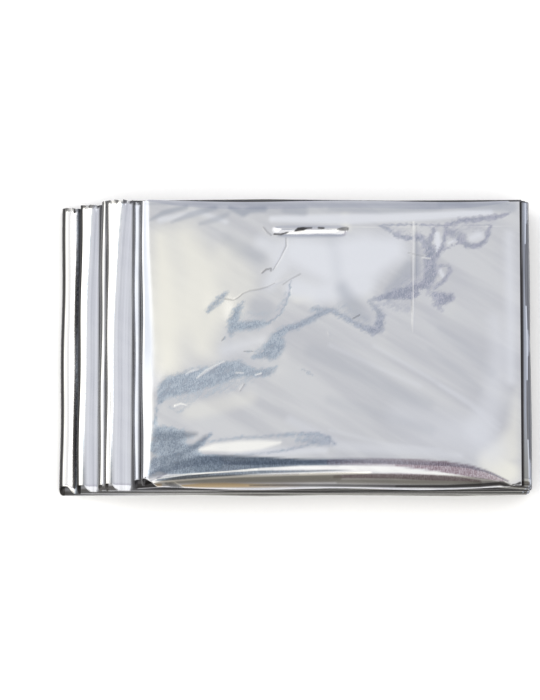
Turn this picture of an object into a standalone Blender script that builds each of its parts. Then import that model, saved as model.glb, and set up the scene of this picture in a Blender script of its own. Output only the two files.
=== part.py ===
"""Folded emergency blanket: a flat bundle of thin metallised film, folded back and forth into a packet.

The packet lies on the ground with its top panel up. X runs along the panels, from the staggered folds at the
left to the free end at the right. Y runs from the front edge to the back, and Z is up. The origin is on the
ground, under the middle of the packet.

The bundle is one sheet here. It starts at the free end of the top panel, runs left, turns under, runs right, and
so on down to the lowest panel. Each left fold reaches farther out than the one above it, like a stair, and the
ledges between the folds are slightly crowned. The top panel is a shallow dome. Along the front it rolls down over
the ends of the panels under it.
"""

import math
from collections import namedtuple

import bmesh
import bpy
from mathutils import Vector

MM = 0.001

# The bundle of film, and the distance from one panel to the next
BUNDLE = 1.0 * MM
PITCH = 1.3 * MM

# Half of the packet's width, from its middle to the front or back edge
HALF_WIDTH = 40.5 * MM

# The free end of the top panel and of the lowest panel
TOP_END = 61.9 * MM
LOW_END = 63.0 * MM

# Each row is one panel, from the top down. front and back say how far its edges lie outside the packet's half
# width. tuck and back_tuck say how far they draw in at the middle, where the top panel rolls over them. wave
# shifts the slow waviness of its edges.
Panel = namedtuple("Panel", "front back tuck back_tuck wave")
PANELS = (
    Panel(front=-0.35, back=-1.45, tuck=0.0, back_tuck=0.0, wave=0.0),
    Panel(front=-0.45, back=-1.25, tuck=7.4, back_tuck=2.6, wave=0.9),
    Panel(front=-0.40, back=-0.95, tuck=4.3, back_tuck=0.0, wave=2.1),
    Panel(front=-0.30, back=-0.85, tuck=2.0, back_tuck=0.0, wave=3.0),
    Panel(front=-0.05, back=0.10, tuck=0.0, back_tuck=0.0, wave=4.4),
    Panel(front=-0.20, back=0.05, tuck=0.0, back_tuck=0.0, wave=5.2),
    Panel(front=0.00, back=0.15, tuck=0.0, back_tuck=0.0, wave=0.4),
    Panel(front=-0.25, back=0.00, tuck=0.0, back_tuck=0.0, wave=1.7),
    Panel(front=-0.05, back=-0.15, tuck=0.0, back_tuck=0.0, wave=2.6),
    Panel(front=0.20, back=-0.30, tuck=0.0, back_tuck=0.0, wave=3.8),
    Panel(front=-0.10, back=-0.80, tuck=0.0, back_tuck=0.0, wave=4.9),
    Panel(front=0.05, back=-0.70, tuck=0.0, back_tuck=0.0, wave=5.8),
)

# Each row is one fold, from the top down, left and right by turns. reach is its outermost x. slant says how much
# farther out its back end lies than its front end. puff widens the fold and lifts the upper panel where it meets
# it. crown is the height of the ledge behind a left fold, highest at the share crest of its width, which differs
# from front to back.
Fold = namedtuple("Fold", "reach slant puff crown crest_front crest_back wave")
FOLDS = (
    Fold(reach=-42.6, slant=0.5, puff=0.0, crown=0.0, crest_front=0.5, crest_back=0.5, wave=0.3),
    Fold(reach=64.5, slant=-0.5, puff=0.0, crown=0.0, crest_front=0.5, crest_back=0.5, wave=1.5),
    Fold(reach=-44.7, slant=0.3, puff=0.0, crown=0.1, crest_front=0.5, crest_back=0.5, wave=2.2),
    Fold(reach=63.9, slant=-0.3, puff=0.0, crown=0.0, crest_front=0.5, crest_back=0.5, wave=3.4),
    Fold(reach=-52.3, slant=-0.3, puff=0.0, crown=0.45, crest_front=0.22, crest_back=0.6, wave=4.1),
    Fold(reach=65.0, slant=-0.4, puff=0.0, crown=0.0, crest_front=0.5, crest_back=0.5, wave=5.6),
    Fold(reach=-54.1, slant=-0.6, puff=0.0, crown=0.1, crest_front=0.5, crest_back=0.5, wave=0.8),
    Fold(reach=63.6, slant=0.3, puff=0.0, crown=0.0, crest_front=0.5, crest_back=0.5, wave=1.9),
    Fold(reach=-60.0, slant=-0.7, puff=0.0, crown=0.4, crest_front=0.24, crest_back=0.5, wave=2.9),
    Fold(reach=64.6, slant=-0.3, puff=0.0, crown=0.0, crest_front=0.5, crest_back=0.5, wave=3.9),
    Fold(reach=-64.9, slant=-0.4, puff=0.9, crown=0.0, crest_front=0.5, crest_back=0.5, wave=5.1),
)
PUFF_FADE = 3.4 * MM

# The waviness of the panels' edges and of the fold lines
EDGE_WAVE = 0.22 * MM
EDGE_WAVE_LENGTH = 47 * MM
FOLD_WAVE = 0.12 * MM
FOLD_WAVE_LENGTH = 38 * MM

# The dome of the top panel, and the shoulder that rises beside its fold
DOME_HEIGHT = 0.5 * MM
DOME_MIDDLE = 10.0 * MM
DOME_HALF_LENGTH = 52.0 * MM
SHOULDER_HEIGHT = 0.5 * MM
SHOULDER_WIDTH = 4.0 * MM

# The rolled front lip of the top panel. Its depth swells quickly from nothing at both ends.
LIP_LEFT = -41.0 * MM
LIP_RIGHT = 59.0 * MM
LIP_WIDTH = 7.3 * MM
LIP_DROP = 3.8 * MM
LIP_CURVE = 2.3
LIP_SWELL = 6.0

# The back edge of the top panel bends down a little in the same way
BACK_WIDTH = 2.4 * MM
BACK_DROP = 0.9 * MM
BACK_CURVE = 1.8

# Mesh steps: distances from both ends of the upper panels, steps along the lower ones and along a ledge, steps
# round a left and a right fold, and across the bundle as shares of its width
UPPER_PANELS = 4
END_STEPS = (0.0, 1.4, 3.0, 5.0, 8.5, 14.0, 24.0, 38.0)
PLAIN_STEPS = 4
LEDGE_STEPS = 5
LEFT_FOLD_STEPS = 8
RIGHT_FOLD_STEPS = 6
ACROSS = (0.0, 0.016, 0.035, 0.056, 0.08, 0.11, 0.22, 0.4, 0.6, 0.8, 0.92, 0.972, 0.988, 1.0)

SILVER = (0.86, 0.85, 0.84, 1.0)


def clear_scene():
    for old in list(bpy.data.objects):
        bpy.data.objects.remove(old, do_unlink=True)


def smooth(value):
    """Eases from 0 to 1 as value goes from 0 to 1, and stays there outside."""
    value = min(max(value, 0.0), 1.0)
    return value * value * (3.0 - 2.0 * value)


def swell(x):
    """The depth of the rolled edges along the packet, from 0 at the ends to 1 in the middle."""
    middle = (LIP_LEFT + LIP_RIGHT) / 2
    half = (LIP_RIGHT - LIP_LEFT) / 2
    return max(0.0, 1.0 - abs((x - middle) / half) ** LIP_SWELL)


def side_of(fold_number):
    """-1 for a left fold, 1 for a right one."""
    return -1 if fold_number % 2 == 0 else 1


def level(panel_number):
    """Height of the middle of a panel's thickness."""
    return BUNDLE / 2 + PITCH * (len(PANELS) - 1 - panel_number)


def fold_radius(fold):
    """Radius of the middle of the sheet round a fold."""
    return (PITCH + fold.puff * MM) / 2


def fold_centre(fold_number, y):
    """x of the axis that a fold turns about."""
    fold = FOLDS[fold_number]
    side = side_of(fold_number)
    lean = fold.slant * MM * y / HALF_WIDTH / 2
    wave = FOLD_WAVE * math.sin(2 * math.pi * y / FOLD_WAVE_LENGTH + fold.wave)
    return fold.reach * MM + side * lean + wave - side * (fold_radius(fold) + BUNDLE / 2)


def edges(panel_number, x):
    """y of a panel's front and back edge at x."""
    panel = PANELS[panel_number]
    turn = 2 * math.pi * x / EDGE_WAVE_LENGTH
    front_wave = EDGE_WAVE * math.sin(turn + panel.wave)
    back_wave = EDGE_WAVE * math.sin(turn * 0.8 + 2 * panel.wave)
    front = -HALF_WIDTH - panel.front * MM + panel.tuck * MM * swell(x) + front_wave
    back = HALF_WIDTH + panel.back * MM - panel.back_tuck * MM * swell(x) + back_wave
    return front, back


def roll_down(x, y, front, back):
    """How far the top panel hangs below its level, by its front lip and its back edge."""
    depth = swell(x)
    if depth == 0.0:
        return 0.0
    into_lip = max(0.0, 1.0 - (y - front) / (LIP_WIDTH * depth))
    into_back = max(0.0, 1.0 - (back - y) / (BACK_WIDTH * depth))
    return depth * (LIP_DROP * into_lip**LIP_CURVE + BACK_DROP * into_back**BACK_CURVE)


def top_lift(x, y):
    """How far the top panel bulges above its level."""
    along = (x - DOME_MIDDLE) / DOME_HALF_LENGTH
    across = y / HALF_WIDTH
    dome = DOME_HEIGHT * max(0.0, 1.0 - along**2) * max(0.0, 1.0 - across**2)
    left = fold_centre(0, y)
    shoulder = SHOULDER_HEIGHT * smooth((x - left) / SHOULDER_WIDTH) * (TOP_END - x) / (TOP_END - left)
    return dome + shoulder


def ledge_lift(fold_number, x, y):
    """How far the panel above a fold is lifted at x, by the fold's puff and by the crown of its ledge."""
    fold = FOLDS[fold_number]
    outer = fold_centre(fold_number, y)
    lift = fold.puff * MM * (1.0 - smooth(abs(x - outer) / PUFF_FADE))
    if fold.crown > 0:
        inner = FOLDS[fold_number - 2].reach * MM
        share = (x - outer) / (inner - outer)
        from_front = 0.5 + y / (2 * HALF_WIDTH)
        crest = fold.crest_front + (fold.crest_back - fold.crest_front) * from_front
        rise = share / crest if share < crest else (1.0 - share) / (1.0 - crest)
        lift += fold.crown * MM * smooth(rise)
    return lift


def panel_point(panel_number, x, share):
    """Middle of the sheet on a panel, at x and a share of the way from front to back."""
    front, back = edges(panel_number, x)
    y = front + (back - front) * share
    z = level(panel_number)
    if panel_number == 0:
        z += top_lift(x, y) - roll_down(x, y, front, back)
    elif panel_number < len(FOLDS):
        z += ledge_lift(panel_number, x, y)
    return Vector((x, y, z))


def fold_point(fold_number, turn, share):
    """Middle of the sheet round a fold. turn goes from 0 at the upper panel to 1 at the lower one."""
    y_guess = HALF_WIDTH * (2 * share - 1)
    centre = fold_centre(fold_number, y_guess)
    upper = edges(fold_number, centre)
    lower = edges(fold_number + 1, centre)
    blend = smooth(turn)
    front = upper[0] + (lower[0] - upper[0]) * blend
    back = upper[1] + (lower[1] - upper[1]) * blend
    radius = fold_radius(FOLDS[fold_number])
    angle = math.pi * turn
    x = centre + side_of(fold_number) * radius * math.sin(angle)
    z = level(fold_number + 1) + radius + radius * math.cos(angle)
    return Vector((x, front + (back - front) * share, z))


def panel_ends(panel_number, y):
    """x where a panel starts and where it ends, on the way down the sheet."""
    last = len(PANELS) - 1
    start = TOP_END if panel_number == 0 else fold_centre(panel_number - 1, y)
    end = LOW_END if panel_number == last else fold_centre(panel_number, y)
    return start, end


def panel_shares(panel_number):
    """The steps along a panel. They are finer near the ends of the upper panels and on the ledges."""
    start, end = panel_ends(panel_number, 0.0)
    length = abs(end - start)
    if panel_number < UPPER_PANELS:
        near = [step * MM / length for step in END_STEPS]
        return near + [1.0 - share for share in reversed(near)]
    steps = [step / PLAIN_STEPS for step in range(PLAIN_STEPS + 1)]
    if panel_number < len(FOLDS) and side_of(panel_number) < 0:
        ledge = abs(FOLDS[panel_number - 2].reach * MM - end) / length
        steps = [share for share in steps if share < 1.0 - ledge]
        steps += [1.0 - ledge * (1.0 - step / LEDGE_STEPS) for step in range(LEDGE_STEPS + 1)]
    return steps


def sheet_rows():
    """Rows of points across the bundle, from the free end of the top panel to that of the lowest."""
    rows = []
    for panel_number in range(len(PANELS)):
        for along in panel_shares(panel_number):
            row = []
            for share in ACROSS:
                start, end = panel_ends(panel_number, HALF_WIDTH * (2 * share - 1))
                row.append(panel_point(panel_number, start + (end - start) * along, share))
            rows.append(row)
        if panel_number < len(FOLDS):
            turns = LEFT_FOLD_STEPS if side_of(panel_number) < 0 else RIGHT_FOLD_STEPS
            for step in range(1, turns):
                rows.append([fold_point(panel_number, step / turns, share) for share in ACROSS])
    return rows


def silver_film():
    material = bpy.data.materials.new("silver_film")
    material.use_nodes = True
    shader = material.node_tree.nodes["Principled BSDF"]
    shader.inputs["Base Color"].default_value = SILVER
    shader.inputs["Metallic"].default_value = 1.0
    shader.inputs["Roughness"].default_value = 0.22
    return material


def folded_sheet(collection):
    """The bundle as a grid bent along its folds, with Solidify for its thickness."""
    rows = sheet_rows()
    shape = bmesh.new()
    bmesh.ops.create_grid(shape, x_segments=len(rows) - 1, y_segments=len(ACROSS) - 1, size=0.5)
    for corner in shape.verts:
        along = round((corner.co.x + 0.5) * (len(rows) - 1))
        across = round((corner.co.y + 0.5) * (len(ACROSS) - 1))
        corner.co = rows[along][across]
    mesh = bpy.data.meshes.new("blanket_film")
    shape.to_mesh(mesh)
    shape.free()
    mesh.shade_smooth()
    mesh.materials.append(silver_film())
    sheet = bpy.data.objects.new("blanket_film", mesh)
    collection.objects.link(sheet)
    thickness = sheet.modifiers.new("thickness", "SOLIDIFY")
    thickness.thickness = BUNDLE
    thickness.offset = 0.0
    thickness.use_even_offset = True
    return sheet


def main():
    clear_scene()
    packet = bpy.data.collections.new("folded_emergency_blanket")
    bpy.context.scene.collection.children.link(packet)
    folded_sheet(packet)


main()
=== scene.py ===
"""Looks of the folded emergency blanket: one thin metallised film, folded lengthwise into a flat bundle of
plies and then back and forth into a packet.

Lengths are in millimetres in the row frame, and become metres where the mesh and the objects are made. X runs
along the panels, from the staggered folds at the left to the free end at the right, Y from front to back, and
Z is up. The creases on the top, and the reflections, highlights and shade painted on it, are placed by
pixels of the 540 by 700 picture, which picture_place() ties to the film.
"""

import math
from collections import namedtuple

import bmesh
import bpy
import numpy as np
from mathutils import Matrix, Vector


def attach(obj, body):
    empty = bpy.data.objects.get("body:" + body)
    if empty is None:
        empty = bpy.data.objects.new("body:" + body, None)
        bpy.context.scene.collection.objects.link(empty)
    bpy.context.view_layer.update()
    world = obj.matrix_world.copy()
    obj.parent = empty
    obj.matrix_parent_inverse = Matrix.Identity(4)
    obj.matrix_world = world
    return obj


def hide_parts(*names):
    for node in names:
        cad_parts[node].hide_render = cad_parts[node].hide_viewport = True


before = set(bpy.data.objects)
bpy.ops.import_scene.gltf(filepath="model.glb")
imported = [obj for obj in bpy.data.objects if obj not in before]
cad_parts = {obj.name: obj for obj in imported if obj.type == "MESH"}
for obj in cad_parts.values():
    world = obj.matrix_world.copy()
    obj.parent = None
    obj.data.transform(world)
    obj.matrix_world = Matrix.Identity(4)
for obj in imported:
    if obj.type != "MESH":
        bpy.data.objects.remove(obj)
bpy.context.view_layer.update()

MM = 0.001

# The bundle's thickness, the distance between panels and half of the packet's width
BUNDLE = 1.0
PITCH = 1.3
HALF_WIDTH = 40.5
TOP_END = 61.9
LOW_END = 63.0

# Each row is one panel, from the top down. wave shifts the waviness of its edges, front and back say how far
# its edges lie outside the packet's half width, and tuck and back_tuck how far they draw in at the middle.
Panel = namedtuple("Panel", "wave front back tuck back_tuck", defaults=(0.0, 0.0))
PANELS = (
    Panel(wave=0.0, front=-0.35, back=-1.45),
    Panel(wave=0.9, front=-0.45, back=-1.25, tuck=7.4, back_tuck=2.6),
    Panel(wave=2.1, front=-0.40, back=-0.95, tuck=4.3),
    Panel(wave=3.0, front=-0.30, back=-0.85, tuck=2.0),
    Panel(wave=4.4, front=-0.05, back=0.10),
    Panel(wave=5.2, front=-0.20, back=0.05),
    Panel(wave=0.4, front=0.00, back=0.15),
    Panel(wave=1.7, front=-0.25, back=0.00),
    Panel(wave=2.6, front=-0.05, back=-0.15),
    Panel(wave=3.8, front=0.20, back=-0.30),
    Panel(wave=4.9, front=-0.10, back=-0.80),
    Panel(wave=5.8, front=0.05, back=-0.70),
)

# Each row is one fold, from the top down, left and right by turns. reach is its outermost x, and slant how
# much farther out its back end lies. puff widens it and lifts the panel above it. crown is the height of the
# ledge behind a left fold, highest at the share crest of its width, which differs from front to back.
Fold = namedtuple("Fold", "reach slant wave puff crown crest_front crest_back", defaults=(0.0, 0.0, 0.5, 0.5))
FOLDS = (
    Fold(reach=-42.6, slant=0.5, wave=0.3),
    Fold(reach=64.5, slant=-0.5, wave=1.5),
    Fold(reach=-44.7, slant=0.3, wave=2.2, crown=0.1),
    Fold(reach=63.9, slant=-0.3, wave=3.4),
    Fold(reach=-52.3, slant=-0.3, wave=4.1, crown=0.40, crest_front=0.11, crest_back=0.52),
    Fold(reach=65.0, slant=-0.4, wave=5.6),
    Fold(reach=-54.1, slant=-0.6, wave=0.8, crown=0.1),
    Fold(reach=63.6, slant=0.3, wave=1.9),
    Fold(reach=-60.0, slant=-0.7, wave=2.9, crown=0.35, crest_front=0.15),
    Fold(reach=64.6, slant=-0.3, wave=3.9),
    Fold(reach=-64.9, slant=-0.4, wave=5.1, puff=0.9),
)
PUFF_FADE = 3.4
CREST_BEND = 4.0
EDGE_WAVE = 0.22
EDGE_WAVE_LENGTH = 47.0
BACK_WAVE_TURNS = 0.8
FOLD_WAVE = 0.12
FOLD_WAVE_LENGTH = 38.0

# The dome of the top panel, and the shoulder that rises beside its fold
DOME_HEIGHT = 0.5
DOME_MIDDLE = 10.0
DOME_HALF_LENGTH = 52.0
SHOULDER_HEIGHT = 0.5
SHOULDER_ROUND = 3
SHOULDER_FOOT = 6.0
# The shoulder's width at some y, from front to back
SHOULDER_PLACES = (-39.0, -28.0, -16.5, -9.5, -2.5, 11.0, 28.0, 38.0)
SHOULDER_WIDTHS = (1.5, 1.8, 2.3, 3.5, 4.0, 2.9, 1.9, 1.4)

# The rolled front lip of the top panel, and its back edge
LIP_LEFT = -41.0
LIP_RIGHT = 59.0
LIP_WIDTH = 7.3
LIP_DROP = 3.8
LIP_CURVE = 2.3
LIP_SWELL = 6.0
BACK_WIDTH = 2.4
BACK_DROP = 0.9
BACK_CURVE = 1.8
LEAST_SWELL = 1e-6

# The plies of the bundle. The outer ply is puffed away from the rest.
PLIES = 26
OUTER_PLY = 0.5
SECOND_PLY = 0.1
LAST_PLY = -0.5
OUTER_BULGE = 0.16
BULGE_SHARES = (0.2, 0.8)
# How far the edges of the plies are set back, and how ragged they are along the panel
PLY_EDGE_LEAST = 0.05
PLY_EDGE_MOST = 0.7
RAGGEDNESS = 0.25
RAGGED_LENGTH = 6.0
# How dark the painted shade between the plies gets at most
PLY_DARKEST = 0.8
CHANCE_SEED = 7

# Something that grows to strength, or falls from it, between start and start + soft
Fade = namedtuple("Fade", "strength start soft")

# The open front ends of the left folds: how far they are set back by the distance from the fold's axis, and
# how this ends on the way round the fold
NOTCH = Fade(1.9, 0.26, 2.6)
NOTCH_TURN = Fade(1.0, 0.25, 0.6)

# The front ends of the ledges bend down and their back ends are crumpled, by the distance from the edge.
# Both end before the fold above.
TONGUE = Fade(0.4, 0.0, 1.5)
CRUMPLE = Fade(0.22, -1.6, 1.6)
LEDGE_SHOWN = Fade(1.0, -0.8, 0.6)

# Sine waves over two places: the size of each, its turns by each place, and its shift
Wave = namedtuple("Wave", "size first second shift", defaults=(0.0,))
CRUMPLE_WAVES = (Wave(1.0, 2.9, 1.3), Wave(0.8, 5.3, -2.1))
STREAK_WAVES = (Wave(1.0, 2.1, 0.05), Wave(0.8, 5.7, 0.03, 1.1))
WARP_ACROSS = (Wave(1.0, 0.4, 0.9), Wave(0.7, 1.7, -0.6, 2.0))
WARP_DOWN = (Wave(1.0, 0.8, -0.5, 1.0), Wave(0.7, 0.5, 1.5))

# Where round each left fold, as a share of its turn, painted shade darkens the film, and the same for the
# # right folds
FOLD_SHADES = {
    0: Fade(0.75, 0.13, 0.07),
    2: Fade(0.90, 0.22, 0.07),
    4: Fade(0.90, 0.16, 0.07),
    6: Fade(0.85, 0.09, 0.07),
    8: Fade(0.98, 0.11, 0.07),
    10: Fade(0.96, 0.08, 0.07),
}
RIGHT_FOLD_SHADE = Fade(0.8, 0.24, 0.14)
# The painted grey shade over the right folds
RIGHT_FOLD_GREY = 0.8
# Painted shadow at the inner end of a ledge, and on the strip of the second panel beside the end of the top
# one
LEDGE_END_SHADE = Fade(0.9, -0.75, 0.6)
STEP_END_SHADE = Fade(0.97, 0.75, 0.3)
# The jagged painted shade along the back end of a ledge
RIM_SHADE = Fade(0.9, -1.1, 0.5)
RIM_UNEVEN = 0.3
RIM_WAVE = 3.1
RIM_TURN = 0.3
# Painted shade in the hollows of the fold ends, by the distance from the fold's axis and from the front edge
HOLLOW_SIDE = Fade(1.0, 1.2, 0.8)
HOLLOW_DEPTH = Fade(1.0, 2.1, 0.6)
HOLLOW_DARK = 0.76
HOLLOW_FACETS = 0.17
HOLLOW_WAVE = 4.5
HOLLOW_TURN = 0.35

# How grey the painted shade on the front edges of the panels under the lip is
FRONT_EDGE_PAINTED_GREY = 0.75
FRONT_EDGE_SHARE = 0.06
# The painted grey shade on the strip of the second panel, and on the narrow second ledge
STEP_MIDDLE = 63.1
STEP_GREY = Fade(1.0, 0.0, 1.0)
SECOND_LEDGE_GREY = 0.55
# The painted highlight and hazy reflection of the lowest ledge, by the share of its width
LOWEST_BRIGHT = Fade(1.0, 0.55, 0.18)
LOWEST_HAZE_AND_REFLECTION = Fade(0.8, 0.62, 0.2)
# The painted highlights, reflections and shade of the other wide ledges, by the distance past their
# # crests, with a painted dark line that widens towards the front
WIDE_LEDGE_CROWN = 0.2
CREST_BRIGHT = Fade(1.0, -0.45, 0.5)
CREST_HAZE_AND_REFLECTION = Fade(0.6, 0.0, 0.4)
CREST_FRONT = Fade(1.0, 0.0, 22.0)
CREST_LINE = 0.1
CREST_LINE_WIDTH = 0.2
CREST_LINE_GROWTH = 0.45
CREST_LINE_DARK = 0.8
LEDGE_PALE = 0.6
LEDGE_PALE_STREAKS = 0.14
LEDGE_SHADE = 0.05
LEDGE_SHADE_STREAKS = 0.1
LEDGE_KINDS = ("bright", "haze_and_painted_reflection", "pale", "shade", "painted_dark", "painted_grey")

# The steps between the base mesh's rows and columns. The rows are closer together in the zones.
Zone = namedtuple("Zone", "low high step")
ROW_STEP = 1.6
ROW_ZONES = (
    Zone(-41.5, -36.5, 0.6),
    Zone(36.5, 41.5, 0.6),
)
TOP_STEP = 1.6
LEDGE_STEP = 0.4
LEDGE_MARGIN = 1.0
STEP_MARGIN = 2.0
MIDDLE_COLUMNS = 4
SECOND_COLUMNS = 6
BOTTOM_COLUMNS = 8
INNER_PLY_SHARES = (0.0, 0.045, 0.965, 1.0)
LAST_PLY_SHARES = (0.0, 0.022, 0.05, 0.25, 0.5, 0.75, 0.965, 1.0)
LEFT_FOLD_STEPS = 16
RIGHT_FOLD_STEPS = 8
# The outer ply of the top panel is cut finer, and finer still near its creases
TOP_CUTS = 2
CREASE_CUTS = 1
CREASE_NEAR = 1.0

# The camera: degrees above the horizon, distance, the size of a pixel at the top panel, and where it aims
CAMERA_ELEVATION = 80.0
CAMERA_DISTANCE = 1600.0
PIXEL = 0.275
FRAME_WIDTH_PIXELS = 540
FRAME_HEIGHT_PIXELS = 700
AIM = (-7.0, -2.53, 15.3)
SENSOR = 36.0
CLIP_END = 50.0

# Soft strokes of reflections, highlights and shade painted on the film. Each row has a strength, the width of
# the stroke's edge in pixels and its points, each of them px, py and half width in pixels. Two numbers more
# are the shares of the strength at the first and the last point.
Patch = namedtuple("Patch", "strength soft points start end", defaults=(1.0, 1.0))

# Painted cream reflections
WARM_STROKES = (
    (0.9, 30.0, ((160, 238, 8), (164, 270, 14), (166, 320, 18), (168, 362, 14))),
    (0.8, 34.0, ((184, 238, 14), (200, 272, 22), (200, 315, 25), (202, 345, 14))),
    (0.5, 20.0, ((228, 255, 14), (240, 282, 16), (232, 308, 12))),
    (0.35, 12.0, ((190, 412, 8), (225, 404, 8), (250, 398, 6))),
    (0.6, 9.0, ((345, 217, 4), (346, 228, 4))),
    (0.5, 9.0, ((297, 298, 5), (312, 296, 4))),
    (1.0, 16.0, ((517, 390, 0.0), (514, 430, 7), (506, 452, 14), (492, 461, 13), (508, 472, 12)), 0.4, 1.0),
)

# Painted pale bluish reflections
PALE_STROKES = (
    (0.3, 26.0, ((400, 415, 12), (450, 425, 12), (480, 425, 10))),
    (1.0, 24.0, ((298, 252, 16), (330, 262, 22), (365, 258, 24), (392, 250, 14))),
    (0.9, 16.0, ((296, 288, 10), (318, 294, 9), (362, 285, 12))),
    (0.9, 5.0, ((272, 219, 3), (300, 219, 4), (350, 219, 5), (430, 216, 4), (490, 212, 3))),
    (0.7, 6.0, ((160, 220, 3), (200, 212, 2), (226, 222, 2))),
    (0.7, 14.0, ((262, 243, 7), (276, 250, 9), (280, 268, 8), (270, 284, 6))),
    (0.6, 16.0, ((262, 340, 2), (250, 343, 4), (225, 350, 6))),
    (1.0, 2.5, ((437, 234, 2.6), (438, 245, 3.2), (437, 251, 1.2))),
    (0.8, 2.5, ((449, 243, 1.2), (457, 239.5, 1.4))),
    (0.8, 8.0, ((472, 238, 3.0), (479, 235, 4.0))),
    (0.8, 3.0, ((440, 271, 2.2), (443, 276, 1.8))),
    (0.6, 12.0, ((509, 235, 4), (511, 320, 5), (511, 380, 4))),
    (0.4, 18.0, ((494, 320, 6), (500, 350, 9), (492, 400, 10), (480, 430, 14))),
    (0.55, 26.0, ((400, 440, 4), (430, 440, 10), (470, 440, 16), (490, 450, 14)), 0.3, 1.0),
    (0.6, 6.0, ((232, 450, 4), (275, 452, 4), (325, 450, 3))),
    (0.4, 8.0, ((290, 420, 4), (340, 446, 5), (420, 452, 4), (460, 456, 3))),
    (0.35, 4.5, ((374, 346, 1.2), (430, 378, 1.8), (470, 405, 1.8), (498, 430, 1.2))),
    (0.3, 5.0, ((330, 345, 1.5), (372, 365, 2), (420, 386, 2))),
    (0.25, 4.0, ((440, 385, 1.5), (470, 402, 2), (500, 425, 1.5))),
    (0.25, 4.0, ((330, 430, 1.5), (390, 445, 2), (440, 450, 1.5))),
)

# Painted shade and dim reflections: bluish grey streaks behind the back crease, soft shadows in front of it
# and
# # darker bands over the rest of the top
SHADE_STROKES = (
    (0.35, 2.6, ((146, 203.8, 1.2), (200, 204.2, 1.4), (280, 204.6, 1.7), (400, 204.4, 1.6),
     (508, 204, 1.3))),
    (0.2, 6.0, ((200, 209, 3), (280, 210, 3.5), (400, 209, 3.0), (500, 207, 2.0))),
    (0.65, 4.0, ((150, 220, 1.0), (163, 213, 2.6), (186, 207, 2.2))),
    (0.6, 4.0, ((172, 222, 1.0), (190, 215, 3.0), (215, 208, 2.4))),
    (0.5, 5.0, ((200, 224, 1.5), (217, 219, 3.0), (228, 214, 2.0))),
    (0.8, 5.0, ((230, 208, 2), (243, 213, 4.0), (250, 210, 3.0), (264, 209, 3))),
    (0.5, 6.0, ((285, 210, 3), (303, 211, 5))),
    (0.35, 6.0, ((330, 209, 2), (380, 211, 3), (440, 208, 2))),
    (0.35, 14.0, ((228, 240, 6), (240, 250, 8), (258, 257, 7))),
    (0.35, 3.0, ((278, 236, 1.2), (300, 236.5, 1.8), (330, 236, 1.8), (344, 235, 1.2))),
    (0.15, 14.0, ((332, 240, 5), (336, 258, 6), (338, 275, 5))),
    (0.5, 14.0, ((342, 288, 6), (350, 302, 8), (358, 312, 8), (366, 318, 5))),
    (0.45, 10.0, ((388, 291, 3), (401, 279, 7), (411, 268, 8))),
    (0.45, 5.0, ((414, 232, 1.5), (417, 250, 2.5), (417, 275, 2.5))),
    (0.25, 10.0, ((264, 310, 10), (256, 306, 7))),
    (0.22, 12.0, ((312, 352, 7), (345, 366, 9), (395, 390, 8), (428, 404, 5))),
    (0.15, 9.0, ((330, 400, 5), (380, 415, 6), (430, 430, 5))),
    (0.16, 8.0, ((440, 330, 4), (466, 348, 6), (492, 372, 5))),
    (0.16, 6.0, ((430, 350, 2), (455, 368, 4), (480, 390, 3))),
    (0.45, 6.0, ((440, 204, 2.5), (480, 206, 4), (512, 207, 5))),
    (0.85, 8.0, ((144, 203, 2.0), (144.5, 250, 3.5), (146.0, 300, 5.0), (147, 340, 6.0), (147.5, 375, 5.0),
     (146, 395, 1.0))),
)
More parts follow.
